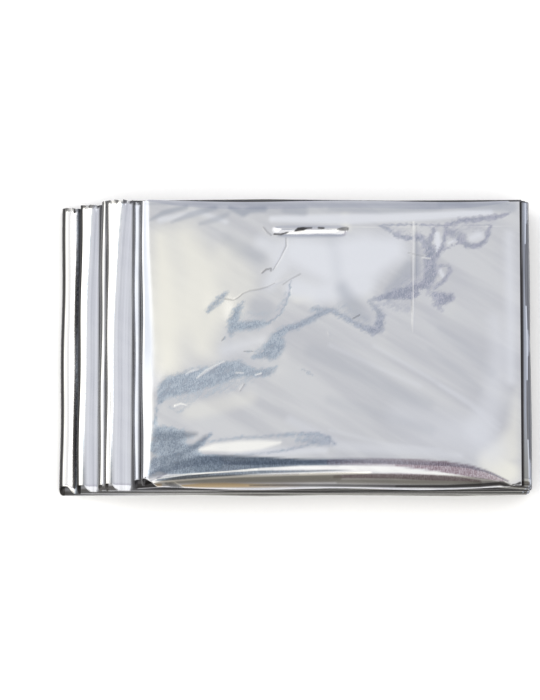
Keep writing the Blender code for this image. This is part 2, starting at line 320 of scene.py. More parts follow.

# The bluish haze, where the film is finely crumpled and rougher, with the dark reflections in it painted into
# # its colour
HAZE_AND_REFLECTION_STROKES = (
    # The bluish hazy smear, the leaf and its thin outline
    (0.95, 7.0, ((227, 292.5, 1.6), (219, 300, 3.4), (208, 311, 2.4))),
    (1.0, 7.7, ((243, 302, 1.2), (237, 311, 4.0), (233, 322, 6.0), (231, 333, 3.2))),
    (1.0, 8.4, ((236, 326, 5.5), (247, 326, 5.5), (258, 324, 4.6), (266, 323, 1.5))),
    (0.9, 3.0, ((266, 324, 1.4), (274, 320, 1.2), (281, 313, 1.0), (286, 304, 1.0), (289.5, 293, 1.0),
     (290.5, 281, 0.8))),
    (0.5, 7.0, ((276, 312, 2.0), (283, 303, 2.4), (286, 293, 1.5))),
    (0.35, 12.0, ((244, 314, 4), (256, 316, 5), (268, 314, 5))),
    # The band from the middle to the lower left
    (1.0, 8.4, ((333, 310, 2.6), (320, 314, 3.4), (309, 320, 3.4), (297, 326, 3.4), (285, 329, 3.6))),
    (1.0, 9.0, ((285, 329, 3.6), (277, 337, 6.5), (276, 345, 9.5), (271, 351, 9.5))),
    (0.9, 7.0, ((271, 353, 6), (262, 355, 4.5), (254, 357, 2.5))),
    (0.6, 4.2, ((244, 351, 0.8), (252, 352, 1.2), (262, 349, 1.5))),
    (0.85, 6.5, ((277, 367, 1.2), (268, 372, 4.5), (256, 373, 4.5), (246, 371, 6.5), (237, 369, 9.5))),
    (0.95, 9.0, ((237, 369, 9.5), (224, 372, 11), (210, 377, 11), (196, 380, 12), (182, 384, 12))),
    (0.95, 9.0, ((182, 384, 12), (170, 387, 11))),
    (0.95, 4.2, ((169, 388, 10.5), (164, 391, 7), (159, 403, 2.5))),
    (0.45, 10.0, ((250, 378, 5), (228, 385, 7), (200, 393, 7), (180, 400, 6))),
    (0.5, 5.6, ((170, 407, 2), (180, 412, 1.5), (190, 404, 2))),
    # The rim round the hollow
    (1.0, 8.4, ((313, 309, 2.6), (330, 310, 2.6), (346, 318, 2.8), (360, 326, 3.2), (373, 331, 4.5))),
    (1.0, 7.7, ((373, 331, 4.5), (379, 328, 5.2), (381, 317, 4.6), (376, 308, 3.2), (369, 302, 1.4))),
    (0.4, 10.0, ((340, 304, 5), (352, 312, 6), (366, 322, 6))),
    # The wedge left of the stem, its ragged lower side, and the stem
    (1.0, 5.6, ((370, 300, 0.9), (385, 297, 3.8), (399, 293.5, 6.3), (412, 292, 7.5))),
    (0.45, 10.0, ((380, 303, 3), (395, 306, 5), (407, 308, 5))),
    (0.5, 14.0, ((386, 290, 2), (399, 284, 5), (409, 279, 7))),
    (1.0, 7.7, ((421, 238, 2.2), (425, 244, 4.6), (431, 251, 6.0), (430, 262, 6.3), (431, 274, 7.2))),
    (1.0, 7.7, ((431, 274, 7.2), (427, 284, 6), (419, 286, 4), (412, 288, 6))),
    (0.7, 8.4, ((430, 284, 5), (430, 294, 3))),
    (1.0, 7.0, ((434, 294, 3.6), (442, 299, 7.5), (451, 297, 3.8))),
    (0.8, 7.0, ((436, 303, 4.5), (441, 309, 2.5))),
    # The triangle and the long line at the back right
    (1.0, 4.8, ((380, 225.7, 1.1), (388, 229, 1.7), (396, 235, 2.2), (408, 238, 2.6), (421, 238, 3.8))),
    (0.95, 3.4, ((380, 225.3, 0.9), (413, 224.4, 1.1), (434, 225.6, 1.2), (446, 225.6, 1.9))),
    (0.95, 5.6, ((446, 225.6, 2.4), (459, 221, 2.8), (479, 219, 2.8), (496, 217, 2.5), (509, 213.5, 1.4))),
    (0.45, 8.0, ((392, 229, 1.5), (405, 232, 3.5), (417, 234, 5))),
    (0.4, 9.0, ((414, 245, 3), (417, 262, 5), (418, 280, 6))),
    (0.7, 7.0, ((448, 231, 3), (456, 233, 5), (463, 236, 5))),
    (0.45, 6.0, ((460, 229, 3), (484, 230, 3))),
    # The loops
    (1.0, 5.6, ((434, 229, 1.9), (429, 243, 3.6))),
    (1.0, 5.6, ((447, 227, 2.0), (443, 245, 2.2), (439, 253, 2.6), (436, 257, 2.6))),
    (0.85, 8.4, ((448, 231, 4.0), (456, 235, 4.2), (464, 241, 3.6))),
    (1.0, 5.0, ((459, 240, 2.8), (467, 245, 3.2), (478, 246, 2.6), (486, 240, 2.2), (490, 226, 2.0))),
    (0.8, 3.4, ((446, 226.6, 1.0), (468, 226, 0.8), (490, 225, 0.9))),
    (0.8, 3.4, ((439, 253, 1.4), (448, 248, 1.0), (460, 242, 1.4))),
    (0.95, 4.8, ((439, 266, 1.3), (447.5, 265.5, 1.5), (451, 269.6, 1.7), (444, 281, 1.9),
     (434, 288, 2.4))),
    # The corner over the left end of the lip
    (0.9, 3.4, ((158, 403, 1.4), (156, 412, 1.4), (155, 424, 2.2))),
    (1.0, 7.0, ((159, 433, 7.5), (169, 435, 9), (179, 437, 8))),
    (0.6, 8.4, ((184, 431, 3.0), (190, 436, 4.0))),
    (1.0, 5.6, ((157, 447, 8), (168, 449, 12), (180, 452, 12), (192, 456, 10))),
    (1.0, 2.8, ((150, 474, 2.4), (157, 464, 7.5), (172, 464, 10.5), (190, 464, 10.3), (215, 463, 8.4))),
    (1.0, 4.2, ((211, 434, 1.4), (203, 441, 3), (193, 450, 4.5))),
    # The rim of the bright lens over the lip
    (0.75, 4.2, ((209, 442, 1.0), (228, 439, 1.1), (246, 437, 1.4), (262, 437, 1.2), (280, 435, 1.4))),
    (0.85, 5.6, ((280, 435, 1.4), (300, 434, 2.0), (318, 434.5, 2.8), (328, 438, 3.5), (334, 444, 2))),
    (0.75, 8.4, ((298, 440, 2.5), (313, 441, 4.5), (328, 442, 4))),
    (0.6, 3.6, ((230, 455, 0.8), (250, 454.5, 0.9), (273, 452, 1.3), (290, 449, 1.8), (308, 445, 2.3))),
    (0.7, 3.4, ((302, 369, 1.0), (307, 372, 1.8), (312, 375, 0.8))),
    (0.7, 2.2, ((225, 337, 0.9), (222, 341, 0.9))),
)

# Painted dark reflections: the dark band of the lip's left half and the dark corner over its left end
DUSK_STROKES = (
    (0.35, 10.0, ((160, 434, 5.0), (168, 444, 9.0), (184, 455, 9.0))),
    (0.3, 6.0, ((154, 446, 2.5), (154, 456, 3.5), (155, 466, 4.0))),
    (0.5, 5.0, ((153, 440, 2.0), (158, 437, 5.0), (176, 436, 5.0), (196, 434, 1.5))),
    (0.5, 6.0, ((206, 436, 1.0), (196, 446, 3.0), (180, 456, 5.0), (164, 462, 6.0))),
    (0.95, 4.0, ((147, 477.5, 1), (160, 471.5, 4.2), (180, 467, 6.9), (200, 464.2, 8.5)), 0.5, 0.85),
    (0.95, 2.4, ((200, 464.2, 8.5), (225, 463.4, 8.2), (257, 462.6, 6.1)), 0.9, 1.0),
    (0.95, 2.0, ((257, 462.4, 5.9), (300, 462.4, 3.6), (338, 462.4, 3.6))),
    (0.9, 2.0, ((338, 462.1, 3.3), (365, 462.0, 3.4), (395, 462.0, 3.4)), 1.0, 0.0),
    (0.85, 1.6, ((156, 481.2, 0.6), (172, 478.9, 1.6), (190, 476.9, 2.1), (225, 474.2, 2.2),
     (249, 472.5, 2.0), (273, 471.6, 1.5))),
    (0.85, 1.4, ((273, 471.8, 1.3), (300, 471.2, 1.1), (338, 470.2, 0.7), (352, 470, 0.2))),
    (0.85, 0.9, ((158, 479.0, 1.4), (170, 477.3, 1.5), (182, 475.4, 1.0), (192, 474.4, 0.4))),
)

# Painted mauve reflections: the bands of the lip's right half
MAUVE_STROKES = (
    (1.0, 2.0, ((330, 461.8, 3.0), (380, 461.9, 3.4), (413, 462.7, 3.6), (446, 464.4, 3.2)), 0.4, 1.0),
    (0.8, 1.6, ((446, 464.4, 3.2), (471, 467.8, 2.6), (490, 473.6, 2.0), (508, 481, 0.8)), 1.1, 0.9),
    (1.0, 1.6, ((395, 465.4, 0.8), (420, 466.8, 2.2), (446, 469.0, 4.0), (471, 472.6, 4.5))),
    (1.0, 1.6, ((471, 472.6, 4.5), (490, 476.8, 3.0), (503, 480.8, 1.2)), 1.0, 0.8),
    (0.9, 1.8, ((335, 476.6, 1.6), (365, 476.0, 2.0), (396, 476.0, 2.8), (430, 477.4, 3.1),
     (455, 478.6, 2.6), (480, 481.2, 1.1))),
)

# Painted grey reflection under the bands of the lip
PAINTED_GREY_STROKES = (
    (0.65, 2.4, ((170, 482.8, 0.8), (193, 481.3, 1.9), (249, 479.4, 3.0), (300, 478.6, 3.6),
     (338, 478.4, 3.6))),
    (0.6, 2.0, ((338, 481.6, 2.0), (400, 482.4, 2.4), (450, 483.2, 2.4), (480, 483.4, 2.0))),
)

# The brownish reflection along the lip's lowest edge
BROWN_STROKES = (
    (0.9, 2.4, ((182, 485.8, 1.0), (200, 485.4, 2.2), (225, 485.2, 2.4), (243, 485.4, 2.0))),
    (0.9, 2.4, ((243, 485.4, 2.0), (265, 485.6, 1.8), (300, 485.6, 1.2)), 1.0, 0.2),
    (0.7, 2.0, ((150, 485, 0.8), (160, 485, 1.8))),
)

# Painted highlights, as bright strips: the wedge beside the top fold, the lens, the lines of the lip, the
# flap
# # and the wrinkles
BRIGHT_STROKES = (
    (0.8, 1.2, ((287, 233.6, 0.7), (300, 232, 1.6), (315, 231.2, 1.9), (330, 230.6, 1.8), (338, 230, 1.3))),
    (0.6, 3.0, ((147, 345, 3.0), (148.5, 380, 4.8), (148.2, 410, 4.8), (147, 440, 3.6),
     (143.5, 478, 0.8)), 0.0, 1.5),
    (0.9, 4.0, ((200, 449.5, 1.5), (215, 447.5, 4), (240, 446.5, 5.5), (260, 445, 4.5), (280, 442.5, 1.2))),
    (0.5, 1.3, ((143, 480.6, 0.5), (187, 474.4, 0.6), (225, 472, 0.6), (257, 469.4, 1.0))),
    (0.2, 1.3, ((257, 469.4, 1.0), (300, 467.3, 1.7))),
    (0.25, 1.5, ((300, 467.2, 1.9), (350, 468.0, 2.3), (396, 469.6, 2.5), (446, 474.6, 1.5),
     (474, 478.2, 0.6))),
    (0.6, 1.2, ((143, 483.0, 0.7), (178, 480.5, 0.8), (209, 478.2, 0.8), (249, 476.1, 0.9),
     (300, 474.5, 0.9))),
    (1.0, 1.2, ((300, 474.5, 0.9), (340, 473.4, 1.0), (370, 472.6, 1.0))),
    (0.6, 0.9, ((413.4, 222, 0.7), (413.2, 300, 0.6), (413, 332, 0.2))),
    (0.5, 1.2, ((422, 257.5, 0.5), (430, 258.6, 0.9))),
    (0.3, 0.8, ((414.8, 223, 0.3), (414.8, 280, 0.2))),
    (0.3, 0.8, ((348, 227.2, 0.3), (430, 226.6, 0.3), (520, 226.4, 0.2))),
    (0.45, 1.4, ((186, 374, 0.6), (192, 371, 1.2), (198, 369.5, 0.8))),
    (0.5, 1.6, ((197, 378, 0.8), (206, 371, 1.6), (215, 366, 1.3), (224, 361.5, 0.6))),
    (0.5, 1.6, ((236, 373, 0.8), (243, 373, 0.8))),
    (0.7, 1.4, ((175, 406, 1.2), (181, 404, 1.4), (186, 405, 0.7))),
    (0.7, 1.2, ((256, 375, 0.7), (261, 373.5, 0.9))),
    (0.9, 1.2, ((503, 487, 0.4), (508, 488, 0.7))),
    (0.7, 0.9, ((174, 481.6, 0.4), (184.5, 488, 0.4))),
)

# Painted shadow: the darkest slits and lines
PAINTED_DARK_STROKES = (
    # Beside the two lines that run front to back
    (0.22, 0.9, ((411.4, 222, 0.4), (411.4, 270, 0.4), (411.6, 312, 0.3))),
    (0.18, 0.9, ((416.4, 224, 0.4), (416.2, 262, 0.4), (415.6, 300, 0.2))),
    (0.25, 0.9, ((408, 252.6, 0.5), (416, 254.6, 0.5), (423, 256, 0.4))),
    # Dark slits along the back crease, and thin dark lines
    (0.95, 1.0, ((295, 230.9, 0.7), (298.5, 229.3, 1.9), (303, 228.8, 1.9), (307, 228.1, 0.9),
     (311.5, 227.9, 0.7))),
    (0.9, 0.9, ((318.5, 227.9, 0.9), (323.5, 228.1, 1.0))),
    (0.7, 1.2, ((338, 229.2, 0.9), (342, 229.0, 1.8), (347, 228.8, 1.8))),
    (0.9, 0.9, ((274, 234.1, 0.8), (281, 234.4, 1.0), (288, 232.2, 0.6))),
    (0.35, 1.0, ((244, 351.3, 0.5), (253, 351.3, 0.5))),
    (0.35, 1.0, ((224.5, 337.5, 0.6), (222, 340.5, 0.6))),
    (0.35, 1.4, ((263.5, 227.5, 0.9), (267, 232, 0.9), (271, 235, 0.8))),
    (0.4, 1.0, ((225, 299, 0.7), (229, 299.4, 0.8), (233, 300.3, 0.6), (238, 297.8, 0.5),
     (243, 293.6, 0.5))),
    (0.3, 1.0, ((243, 293.6, 0.5), (250, 290.6, 0.5), (260, 289, 0.6), (268, 286.6, 0.5), (275, 283, 0.4))),
    (0.5, 1.0, ((262, 273, 0.7), (266, 269.5, 0.9), (271, 268.5, 0.8), (271, 271, 0.7))),
    (0.3, 1.0, ((273, 270, 0.6), (280, 258.6, 0.5), (286, 246, 0.9), (286, 238, 0.6))),
    (0.25, 1.0, ((283, 284.5, 0.6), (290, 279.5, 0.6), (300, 274.2, 0.9))),
    (0.45, 1.0, ((353, 318.5, 0.7), (359.6, 315, 0.7))),
    (0.3, 1.0, ((240, 391, 0.6), (244.5, 384, 0.6))),
    # The lip's lowest edge, and the crushed corner at its right end
    (0.85, 1.6, ((250, 485.4, 0.6), (280, 485.2, 1.2), (338, 485.4, 1.4), (396, 486.2, 1.4)), 0.6, 1.0),
    (0.95, 1.6, ((396, 486.2, 1.4), (446, 486.4, 1.6), (480, 485.2, 2.0), (500, 483.4, 1.9),
     (507, 485.2, 2.4))),
    (0.8, 3.0, ((446, 484.8, 1.2), (475, 483.6, 2.0), (492, 482.8, 2.0), (504, 482.8, 1.6)), 0.1, 1.2),
    (0.9, 1.2, ((500, 481.6, 0.6), (506, 483.4, 1.2), (511, 486, 1.6), (516, 484.6, 1.0), (520, 483, 1.4))),
    (0.65, 2.0, ((166, 483.4, 1.0), (171, 485.0, 2.0), (178, 486.6, 1.6), (183, 488, 0.6))),
)

STROKES = {
    "warm": WARM_STROKES,
    "pale": PALE_STROKES,
    "shade": SHADE_STROKES,
    "haze_and_painted_reflection": HAZE_AND_REFLECTION_STROKES,
    "dusk": DUSK_STROKES,
    "mauve": MAUVE_STROKES,
    "painted_grey": PAINTED_GREY_STROKES,
    "brown": BROWN_STROKES,
    "bright": BRIGHT_STROKES,
    "painted_dark": PAINTED_DARK_STROKES,
}
PATCHES = {kind: [Patch(*row) for row in rows] for kind, rows in STROKES.items()}
# Strokes of these kinds add up where they cross, and of the others the strongest shows
BLENDED_KINDS = ("warm", "pale", "shade")

# How far the outlines of the hazy strokes waver, in pixels. The lip's own strokes don't.
WARP = Fade(0.55, 448.0, 8.0)

# Creases of the top panel along points px, py, with height and width in millimetres. They are ridges, and
# troughs where the height is below zero.
Crease = namedtuple("Crease", "height width points")
CREASES = (
    # Across the whole panel near the back, and the two lines that run front to back
    Crease(0.030, 0.28, ((154, 226.6), (265, 226.9), (380, 225.6), (516, 226))),
    Crease(0.045, 0.24, ((412.6, 222), (412.3, 260), (412.8, 300), (413, 332))),
    Crease(0.020, 0.22, ((415.6, 223), (415.8, 250), (415.4, 280))),
    Crease(0.040, 0.25, ((408, 253), (416, 254), (424, 258), (432, 259))),
    # The curved creases of the middle
    Crease(0.040, 0.30, ((233, 300.3), (238, 297.8), (243, 293.6), (250, 290.6), (260, 289), (270, 286),
                         (296, 275))),
    Crease(-0.040, 0.32, ((290.5, 281), (289.5, 293), (286, 303), (281, 312), (275, 319), (268, 323))),
    Crease(-0.035, 0.28, ((286, 237), (286.5, 246), (280, 258.6), (273, 270))),
    Crease(0.050, 0.26, ((263, 227), (267, 232), (272, 235))),
    Crease(0.040, 0.28, ((261, 273), (266, 270), (271, 269))),
    # Small bright wrinkles
    Crease(0.025, 0.35, ((186, 374), (192, 371), (198, 369.5))),
    Crease(0.030, 0.40, ((197, 378), (206, 371), (215, 366), (224, 361.5))),
    Crease(0.030, 0.28, ((236, 373), (243, 373))),
    Crease(0.050, 0.32, ((174, 406), (181, 404), (186, 405))),
    Crease(0.050, 0.28, ((255, 375), (262, 373.5))),
    Crease(0.040, 0.24, ((240, 391), (244.5, 384))),
    Crease(0.040, 0.26, ((328, 331), (330, 336))),
    Crease(0.045, 0.26, ((449, 243), (457, 239.5))),
    Crease(0.030, 0.24, ((470, 221.5), (496, 220))),
    # The thin bright line along the lip's left half
    Crease(0.03, 0.30, ((143, 481), (184, 475.2), (248, 469), (300, 467.6))),
)
CREASE_FADE = 8.0
CREASE_END_SHARE = 0.15

# The film that stands up along the back crease: its line in pixels, its height and widths in millimetres
FLAP_LEFT = Fade(1.0, 271.0, 12.0)
FLAP_RIGHT = Fade(1.0, 343.0, 5.0)
FLAP_ENDS = (271.0, 348.0)
FLAP_LINE = 228.4
FLAP_HEIGHT = 0.50
FLAP_FRONT = 1.35
FLAP_BACK = 0.35
FLAP_UNEVEN = 0.08
FLAP_WAVE = 0.31
FLAP_SHIFT = 0.6
FLAP_SLOW_WAVE = 0.14

# Slow ripples of the front right part: their bent lines, and where they fade in and out
Ripple = namedtuple("Ripple", "height length turn shift")
RIPPLES = (
    Ripple(height=0.008, length=15.0, turn=-34.0, shift=0.3),
    Ripple(height=0.005, length=8.6, turn=-40.0, shift=1.9),
    Ripple(height=0.003, length=5.2, turn=-27.0, shift=4.0),
)
RIPPLE_BEND = 2.2
RIPPLE_BEND_LENGTH = 17.0
RIPPLE_LEFT = Fade(1.0, -10.0, 40.0)
RIPPLE_FRONT = Fade(1.0, -36.0, 10.0)
RIPPLE_BACK = Fade(1.0, -3.0, 25.0)

# Where the top's relief fades out at its left and right ends
RELIEF_LEFT = Fade(1.0, -41.5, 3.0)
RELIEF_RIGHT = Fade(1.0, 60.2, 2.0)

# How far the hazy strokes lean towards the front, fitted over an even grid of picture pixels
LEAN = 0.09
LEAN_LEFT = -50
LEAN_TOP = 100
LEAN_COLUMNS = 640
LEAN_ROWS = 500
LEAN_ACROSS_WEIGHT = 0.15
LEAN_RELAX_LENGTH = 34.0


def ease(value):
    """Eases from 0 to 1 as value goes from 0 to 1, and stays there outside."""
    value = np.clip(value, 0.0, 1.0)
    return value * value * (3.0 - 2.0 * value)


def rising(fade, value):
    """Grows from 0 to the fade's strength."""
    return fade.strength * ease((value - fade.start) / fade.soft)


def falling(fade, value):
    """Falls from the fade's strength to 0."""
    return fade.strength * ease(1.0 - (value - fade.start) / fade.soft)


def add_waves(waves, first, second, shift=0.0):
    """The sum of sine waves, each one after the first shifted farther by shift."""
    total = 0.0
    for number, wave in enumerate(waves):
        turn = wave.first * first + wave.second * second + wave.shift + number * shift
        total = total + wave.size * np.sin(turn)
    return total


def picture_place(x, y, z):
    """The pixels of the 540 by 700 picture where points of the row frame are seen."""
    rise = math.radians(CAMERA_ELEVATION)
    right, back, up = x - AIM[0], y - AIM[1], z - AIM[2]
    depth = CAMERA_DISTANCE + back * math.cos(rise) - up * math.sin(rise)
    scale = CAMERA_DISTANCE / depth / PIXEL
    px = FRAME_WIDTH_PIXELS / 2 + right * scale
    py = FRAME_HEIGHT_PIXELS / 2 - (back * math.sin(rise) + up * math.cos(rise)) * scale
    return px, py


def swell(x):
    """The depth of the rolled edges along the packet, from 0 at the ends to 1 in the middle."""
    middle = (LIP_LEFT + LIP_RIGHT) / 2
    half = (LIP_RIGHT - LIP_LEFT) / 2
    return np.maximum(0.0, 1.0 - np.abs((x - middle) / half) ** LIP_SWELL)


def side_of(fold_number):
    """-1 for a left fold or the panel above it, 1 for a right one."""
    return -1 if fold_number % 2 == 0 else 1


def level(panel_number):
    """Height of the middle of a panel's thickness."""
    return BUNDLE / 2 + PITCH * (len(PANELS) - 1 - panel_number)


def fold_radius(fold):
    """Radius of the middle of the bundle round a fold."""
    return (PITCH + fold.puff) / 2


def fold_centre(fold_number, y):
    """x of the axis that a fold turns about."""
    fold = FOLDS[fold_number]
    side = side_of(fold_number)
    lean = fold.slant * y / HALF_WIDTH / 2
    wave = FOLD_WAVE * np.sin(2 * math.pi * y / FOLD_WAVE_LENGTH + fold.wave)
    return fold.reach + side * lean + wave - side * (fold_radius(fold) + BUNDLE / 2)


def edges(panel_number, x):
    """y of a panel's front and back edge at x."""
    panel = PANELS[panel_number]
    turn = 2 * math.pi * x / EDGE_WAVE_LENGTH
    front_wave = EDGE_WAVE * np.sin(turn + panel.wave)
    back_wave = EDGE_WAVE * np.sin(turn * BACK_WAVE_TURNS + 2 * panel.wave)
    front = -HALF_WIDTH - panel.front + panel.tuck * swell(x) + front_wave
    back = HALF_WIDTH + panel.back - panel.back_tuck * swell(x) + back_wave
    return front, back


def roll_down(x, y):
    """How far the top panel hangs below its level, by its front lip and its back edge."""
    front, back = edges(0, x)
    depth = swell(x)
    room = np.maximum(depth, LEAST_SWELL)
    into_lip = np.maximum(0.0, 1.0 - (y - front) / (LIP_WIDTH * room))
    into_back = np.maximum(0.0, 1.0 - (back - y) / (BACK_WIDTH * room))
    return depth * (LIP_DROP * into_lip**LIP_CURVE + BACK_DROP * into_back**BACK_CURVE)


def top_lift(x, y):
    """How far the top panel bulges above its level."""
    along = (x - DOME_MIDDLE) / DOME_HALF_LENGTH
    dome = DOME_HEIGHT * np.maximum(0.0, 1.0 - along**2) * np.maximum(0.0, 1.0 - (y / HALF_WIDTH) ** 2)
    left = fold_centre(0, y)
    along = np.clip((x - left) / np.interp(y, SHOULDER_PLACES, SHOULDER_WIDTHS), 0.0, 1.0)
    rise = (1.0 - (1.0 - along) ** SHOULDER_ROUND) * ease(along * SHOULDER_FOOT)
    shoulder = SHOULDER_HEIGHT * rise * (TOP_END - x) / (TOP_END - left)
    return dome + shoulder


def crest_share(fold_number, y):
    """Share of a ledge's width, from its fold inwards, where it is highest."""
    fold = FOLDS[fold_number]
    behind = np.clip(0.5 + y / (2 * HALF_WIDTH), 0.0, 1.0) ** CREST_BEND
    return fold.crest_front + (fold.crest_back - fold.crest_front) * behind


def ledge_share(fold_number, x, y):
    """0 at a left fold's axis, 1 where the fold above it ends."""
    outer = fold_centre(fold_number, y)
    return (x - outer) / (FOLDS[fold_number - 2].reach - outer)


def ledge_lift(fold_number, x, y):
    """How far the panel above a fold is lifted at x, by the fold's puff and by the crown of its ledge."""
    fold = FOLDS[fold_number]
    lift = fold.puff * (1.0 - ease(np.abs(x - fold_centre(fold_number, y)) / PUFF_FADE))
    if fold.crown > 0:
        share = ledge_share(fold_number, x, y)
        crest = crest_share(fold_number, y)
        lift = lift + fold.crown * ease(np.where(share < crest, share / crest, (1.0 - share) / (1.0 - crest)))
    return lift


def ledge_ends(panel_number, x, y):
    """The drop of a ledge's front end and the crumples of its back end."""
    front, back = edges(panel_number, x)
    drop = falling(TONGUE, y - front)
    lift = rising(CRUMPLE, y - back) * add_waves(CRUMPLE_WAVES, x, y, panel_number)
    return (lift - drop) * falling(LEDGE_SHOWN, x - FOLDS[panel_number - 2].reach)


def panel_height(panel_number, x, y):
    """z of the middle of a panel."""
    z = level(panel_number) + np.zeros_like(x)
    if panel_number == 0:
        return z + top_lift(x, y) - roll_down(x, y)
    if panel_number < len(FOLDS):
        z = z + ledge_lift(panel_number, x, y)
        if side_of(panel_number) < 0:
            z = z + ledge_ends(panel_number, x, y)
    return z


def spaced(low, high, coarse, zones=()):
    """Places from low to high, closer together in the zones."""
    places = [low]
    while places[-1] < high:
        steps = [zone.step for zone in zones if zone.low <= places[-1] < zone.high]
        places.append(places[-1] + min(steps + [coarse]))
    return low + (np.array(places) - low) * (high - low) / (places[-1] - low)


def across_rows():
    """The rows of the mesh across the bundle: ply, share of the way to the back, outward push and offset."""
    fine = (spaced(-HALF_WIDTH, HALF_WIDTH, ROW_STEP, ROW_ZONES) + HALF_WIDTH) / (2 * HALF_WIDTH)
    offsets = np.concatenate(([OUTER_PLY], np.linspace(SECOND_PLY, LAST_PLY, PLIES - 1)))
    rows = [(0, share, 0.0, OUTER_PLY) for share in fine[::-1]]
    rows += [(0, 0.0, OUTER_BULGE, OUTER_PLY + share * (SECOND_PLY - OUTER_PLY)) for share in BULGE_SHARES]
    for ply in range(1, PLIES):
        shares = LAST_PLY_SHARES if ply == PLIES - 1 else INNER_PLY_SHARES
        ordered = shares if ply % 2 else shares[::-1]
        rows += [(ply, share, 0.0, offsets[ply]) for share in ordered]
    return [np.array(column) for column in zip(*rows)], len(fine)


(ROW_PLY, ROW_SHARE, ROW_PUSH, ROW_OFFSET), OUTER_ROWS = across_rows()
CHANCE = np.random.RandomState(CHANCE_SEED)


def set_backs():
    """How far the folded edge of each ply is set back, which the outermost one isn't."""
    return np.concatenate(([0.0], CHANCE.uniform(PLY_EDGE_LEAST, PLY_EDGE_MOST, PLIES)))


FRONT_SET_BACK = set_backs()[ROW_PLY // 2]
BACK_SET_BACK = set_backs()[(ROW_PLY + 1) // 2]
EDGE_SHIFT = CHANCE.uniform(0.0, 2 * math.pi, PLIES)[ROW_PLY // 2]
# The painted shade of each inner ply, which darkens it where it lies between the others
PLY_DARKNESS = CHANCE.uniform(0.0, PLY_DARKEST, PLIES)


def across(front, back, x):
    """y of each row between the panel's front and back edges."""
    ragged = 1.0 - RAGGEDNESS + RAGGEDNESS * np.sin(x / RAGGED_LENGTH + EDGE_SHIFT)
    front = front + FRONT_SET_BACK * ragged
    back = back - BACK_SET_BACK * ragged
    return front + (back - front) * ROW_SHARE - ROW_PUSH


def panel_ends(panel_number, y):
    """x where a panel starts and where it ends, on the way down the film."""
    last = len(PANELS) - 1
    start = TOP_END + 0.0 * y if panel_number == 0 else fold_centre(panel_number - 1, y)
    end = LOW_END + 0.0 * y if panel_number == last else fold_centre(panel_number, y)
    return start, end


def columns_of(panel_number):
    """Shares along a panel where the mesh has its columns."""
    start, end = (float(place[0]) for place in panel_ends(panel_number, np.zeros(1)))
    low, high = min(start, end), max(start, end)
    if panel_number == 0:
        places = spaced(low, high, TOP_STEP)
    elif panel_number == len(PANELS) - 1:
        places = np.linspace(low, high, BOTTOM_COLUMNS)
    elif side_of(panel_number) < 0:
        ledge_end = FOLDS[panel_number - 2].reach + LEDGE_MARGIN
        ledge = spaced(low, ledge_end, LEDGE_STEP)[:-1]
        places = np.concatenate((ledge, np.linspace(ledge_end, high, MIDDLE_COLUMNS)))
    elif panel_number == 1:
        step_start = TOP_END - STEP_MARGIN
        middle = np.linspace(low, step_start, SECOND_COLUMNS)[:-1]
        places = np.concatenate((middle, spaced(step_start, high, LEDGE_STEP)))
    else:
        places = np.linspace(low, high, MIDDLE_COLUMNS)
    return np.sort((places - start) / (end - start))


def notch(panel_number, x, y):
    """How far the front end of a left fold and of the panel beside it is set back."""
    if panel_number >= len(FOLDS) or panel_number % 2:
        return 0.0
    return falling(NOTCH, np.abs(x - fold_centre(panel_number, y)))


def surface(panel_number, x, y, offset):
    """Points of a panel at x and y, offset from its middle along its normal."""
    step = 0.05
    z = panel_height(panel_number, x, y)
    rise_x = panel_height(panel_number, x + step, y) - panel_height(panel_number, x - step, y)
    rise_y = panel_height(panel_number, x, y + step) - panel_height(panel_number, x, y - step)
    normal = np.stack((-rise_x / (2 * step), -rise_y / (2 * step), np.ones_like(x)), axis=1)
    normal /= np.linalg.norm(normal, axis=1)[:, None]
    return np.stack((x, y, z), axis=1) + normal * np.reshape(offset, (-1, 1))


def panel_column(panel_number, along):
    """One column of the mesh on a panel: its points, and where they lie on the panel."""
    guess = HALF_WIDTH * (2 * ROW_SHARE - 1)
    start, end = panel_ends(panel_number, guess)
    x = start + (end - start) * along
    front, back = edges(panel_number, x)
    y = across(front + notch(panel_number, x, guess), back, x)
    upward = 1.0 if panel_number % 2 == 0 else -1.0
    return surface(panel_number, x, y, upward * ROW_OFFSET), np.stack((x, y), axis=1)


def fold_column(fold_number, turn):
    """One column of the mesh round a fold. turn goes from 0 to 1, from the upper panel to the lower."""
    guess = HALF_WIDTH * (2 * ROW_SHARE - 1)
    centre = fold_centre(fold_number, guess)
    upper = edges(fold_number, centre)
    lower = edges(fold_number + 1, centre)
    blend = ease(turn)
    front = upper[0] + (lower[0] - upper[0]) * blend
    back = upper[1] + (lower[1] - upper[1]) * blend
    front = front + notch(fold_number, centre, guess) * falling(NOTCH_TURN, turn)
    y = across(front, back, centre)
    side = side_of(fold_number)
    middle = fold_radius(FOLDS[fold_number])
    radius = middle - side * ROW_OFFSET
    angle = math.pi * turn
    x = centre + side * radius * math.sin(angle)
    z = level(fold_number + 1) + middle + radius * math.cos(angle)
    return np.stack((x, y, z), axis=1), np.stack((x, y), axis=1)


def to_segment(x, y, first, last):
    """Distance from each point to a straight piece, and the share of the way along it."""
    along_x, along_y = last[0] - first[0], last[1] - first[1]
    length2 = along_x**2 + along_y**2
    share = np.clip(((x - first[0]) * along_x + (y - first[1]) * along_y) / length2, 0.0, 1.0)
    return np.hypot(x - first[0] - share * along_x, y - first[1] - share * along_y), share


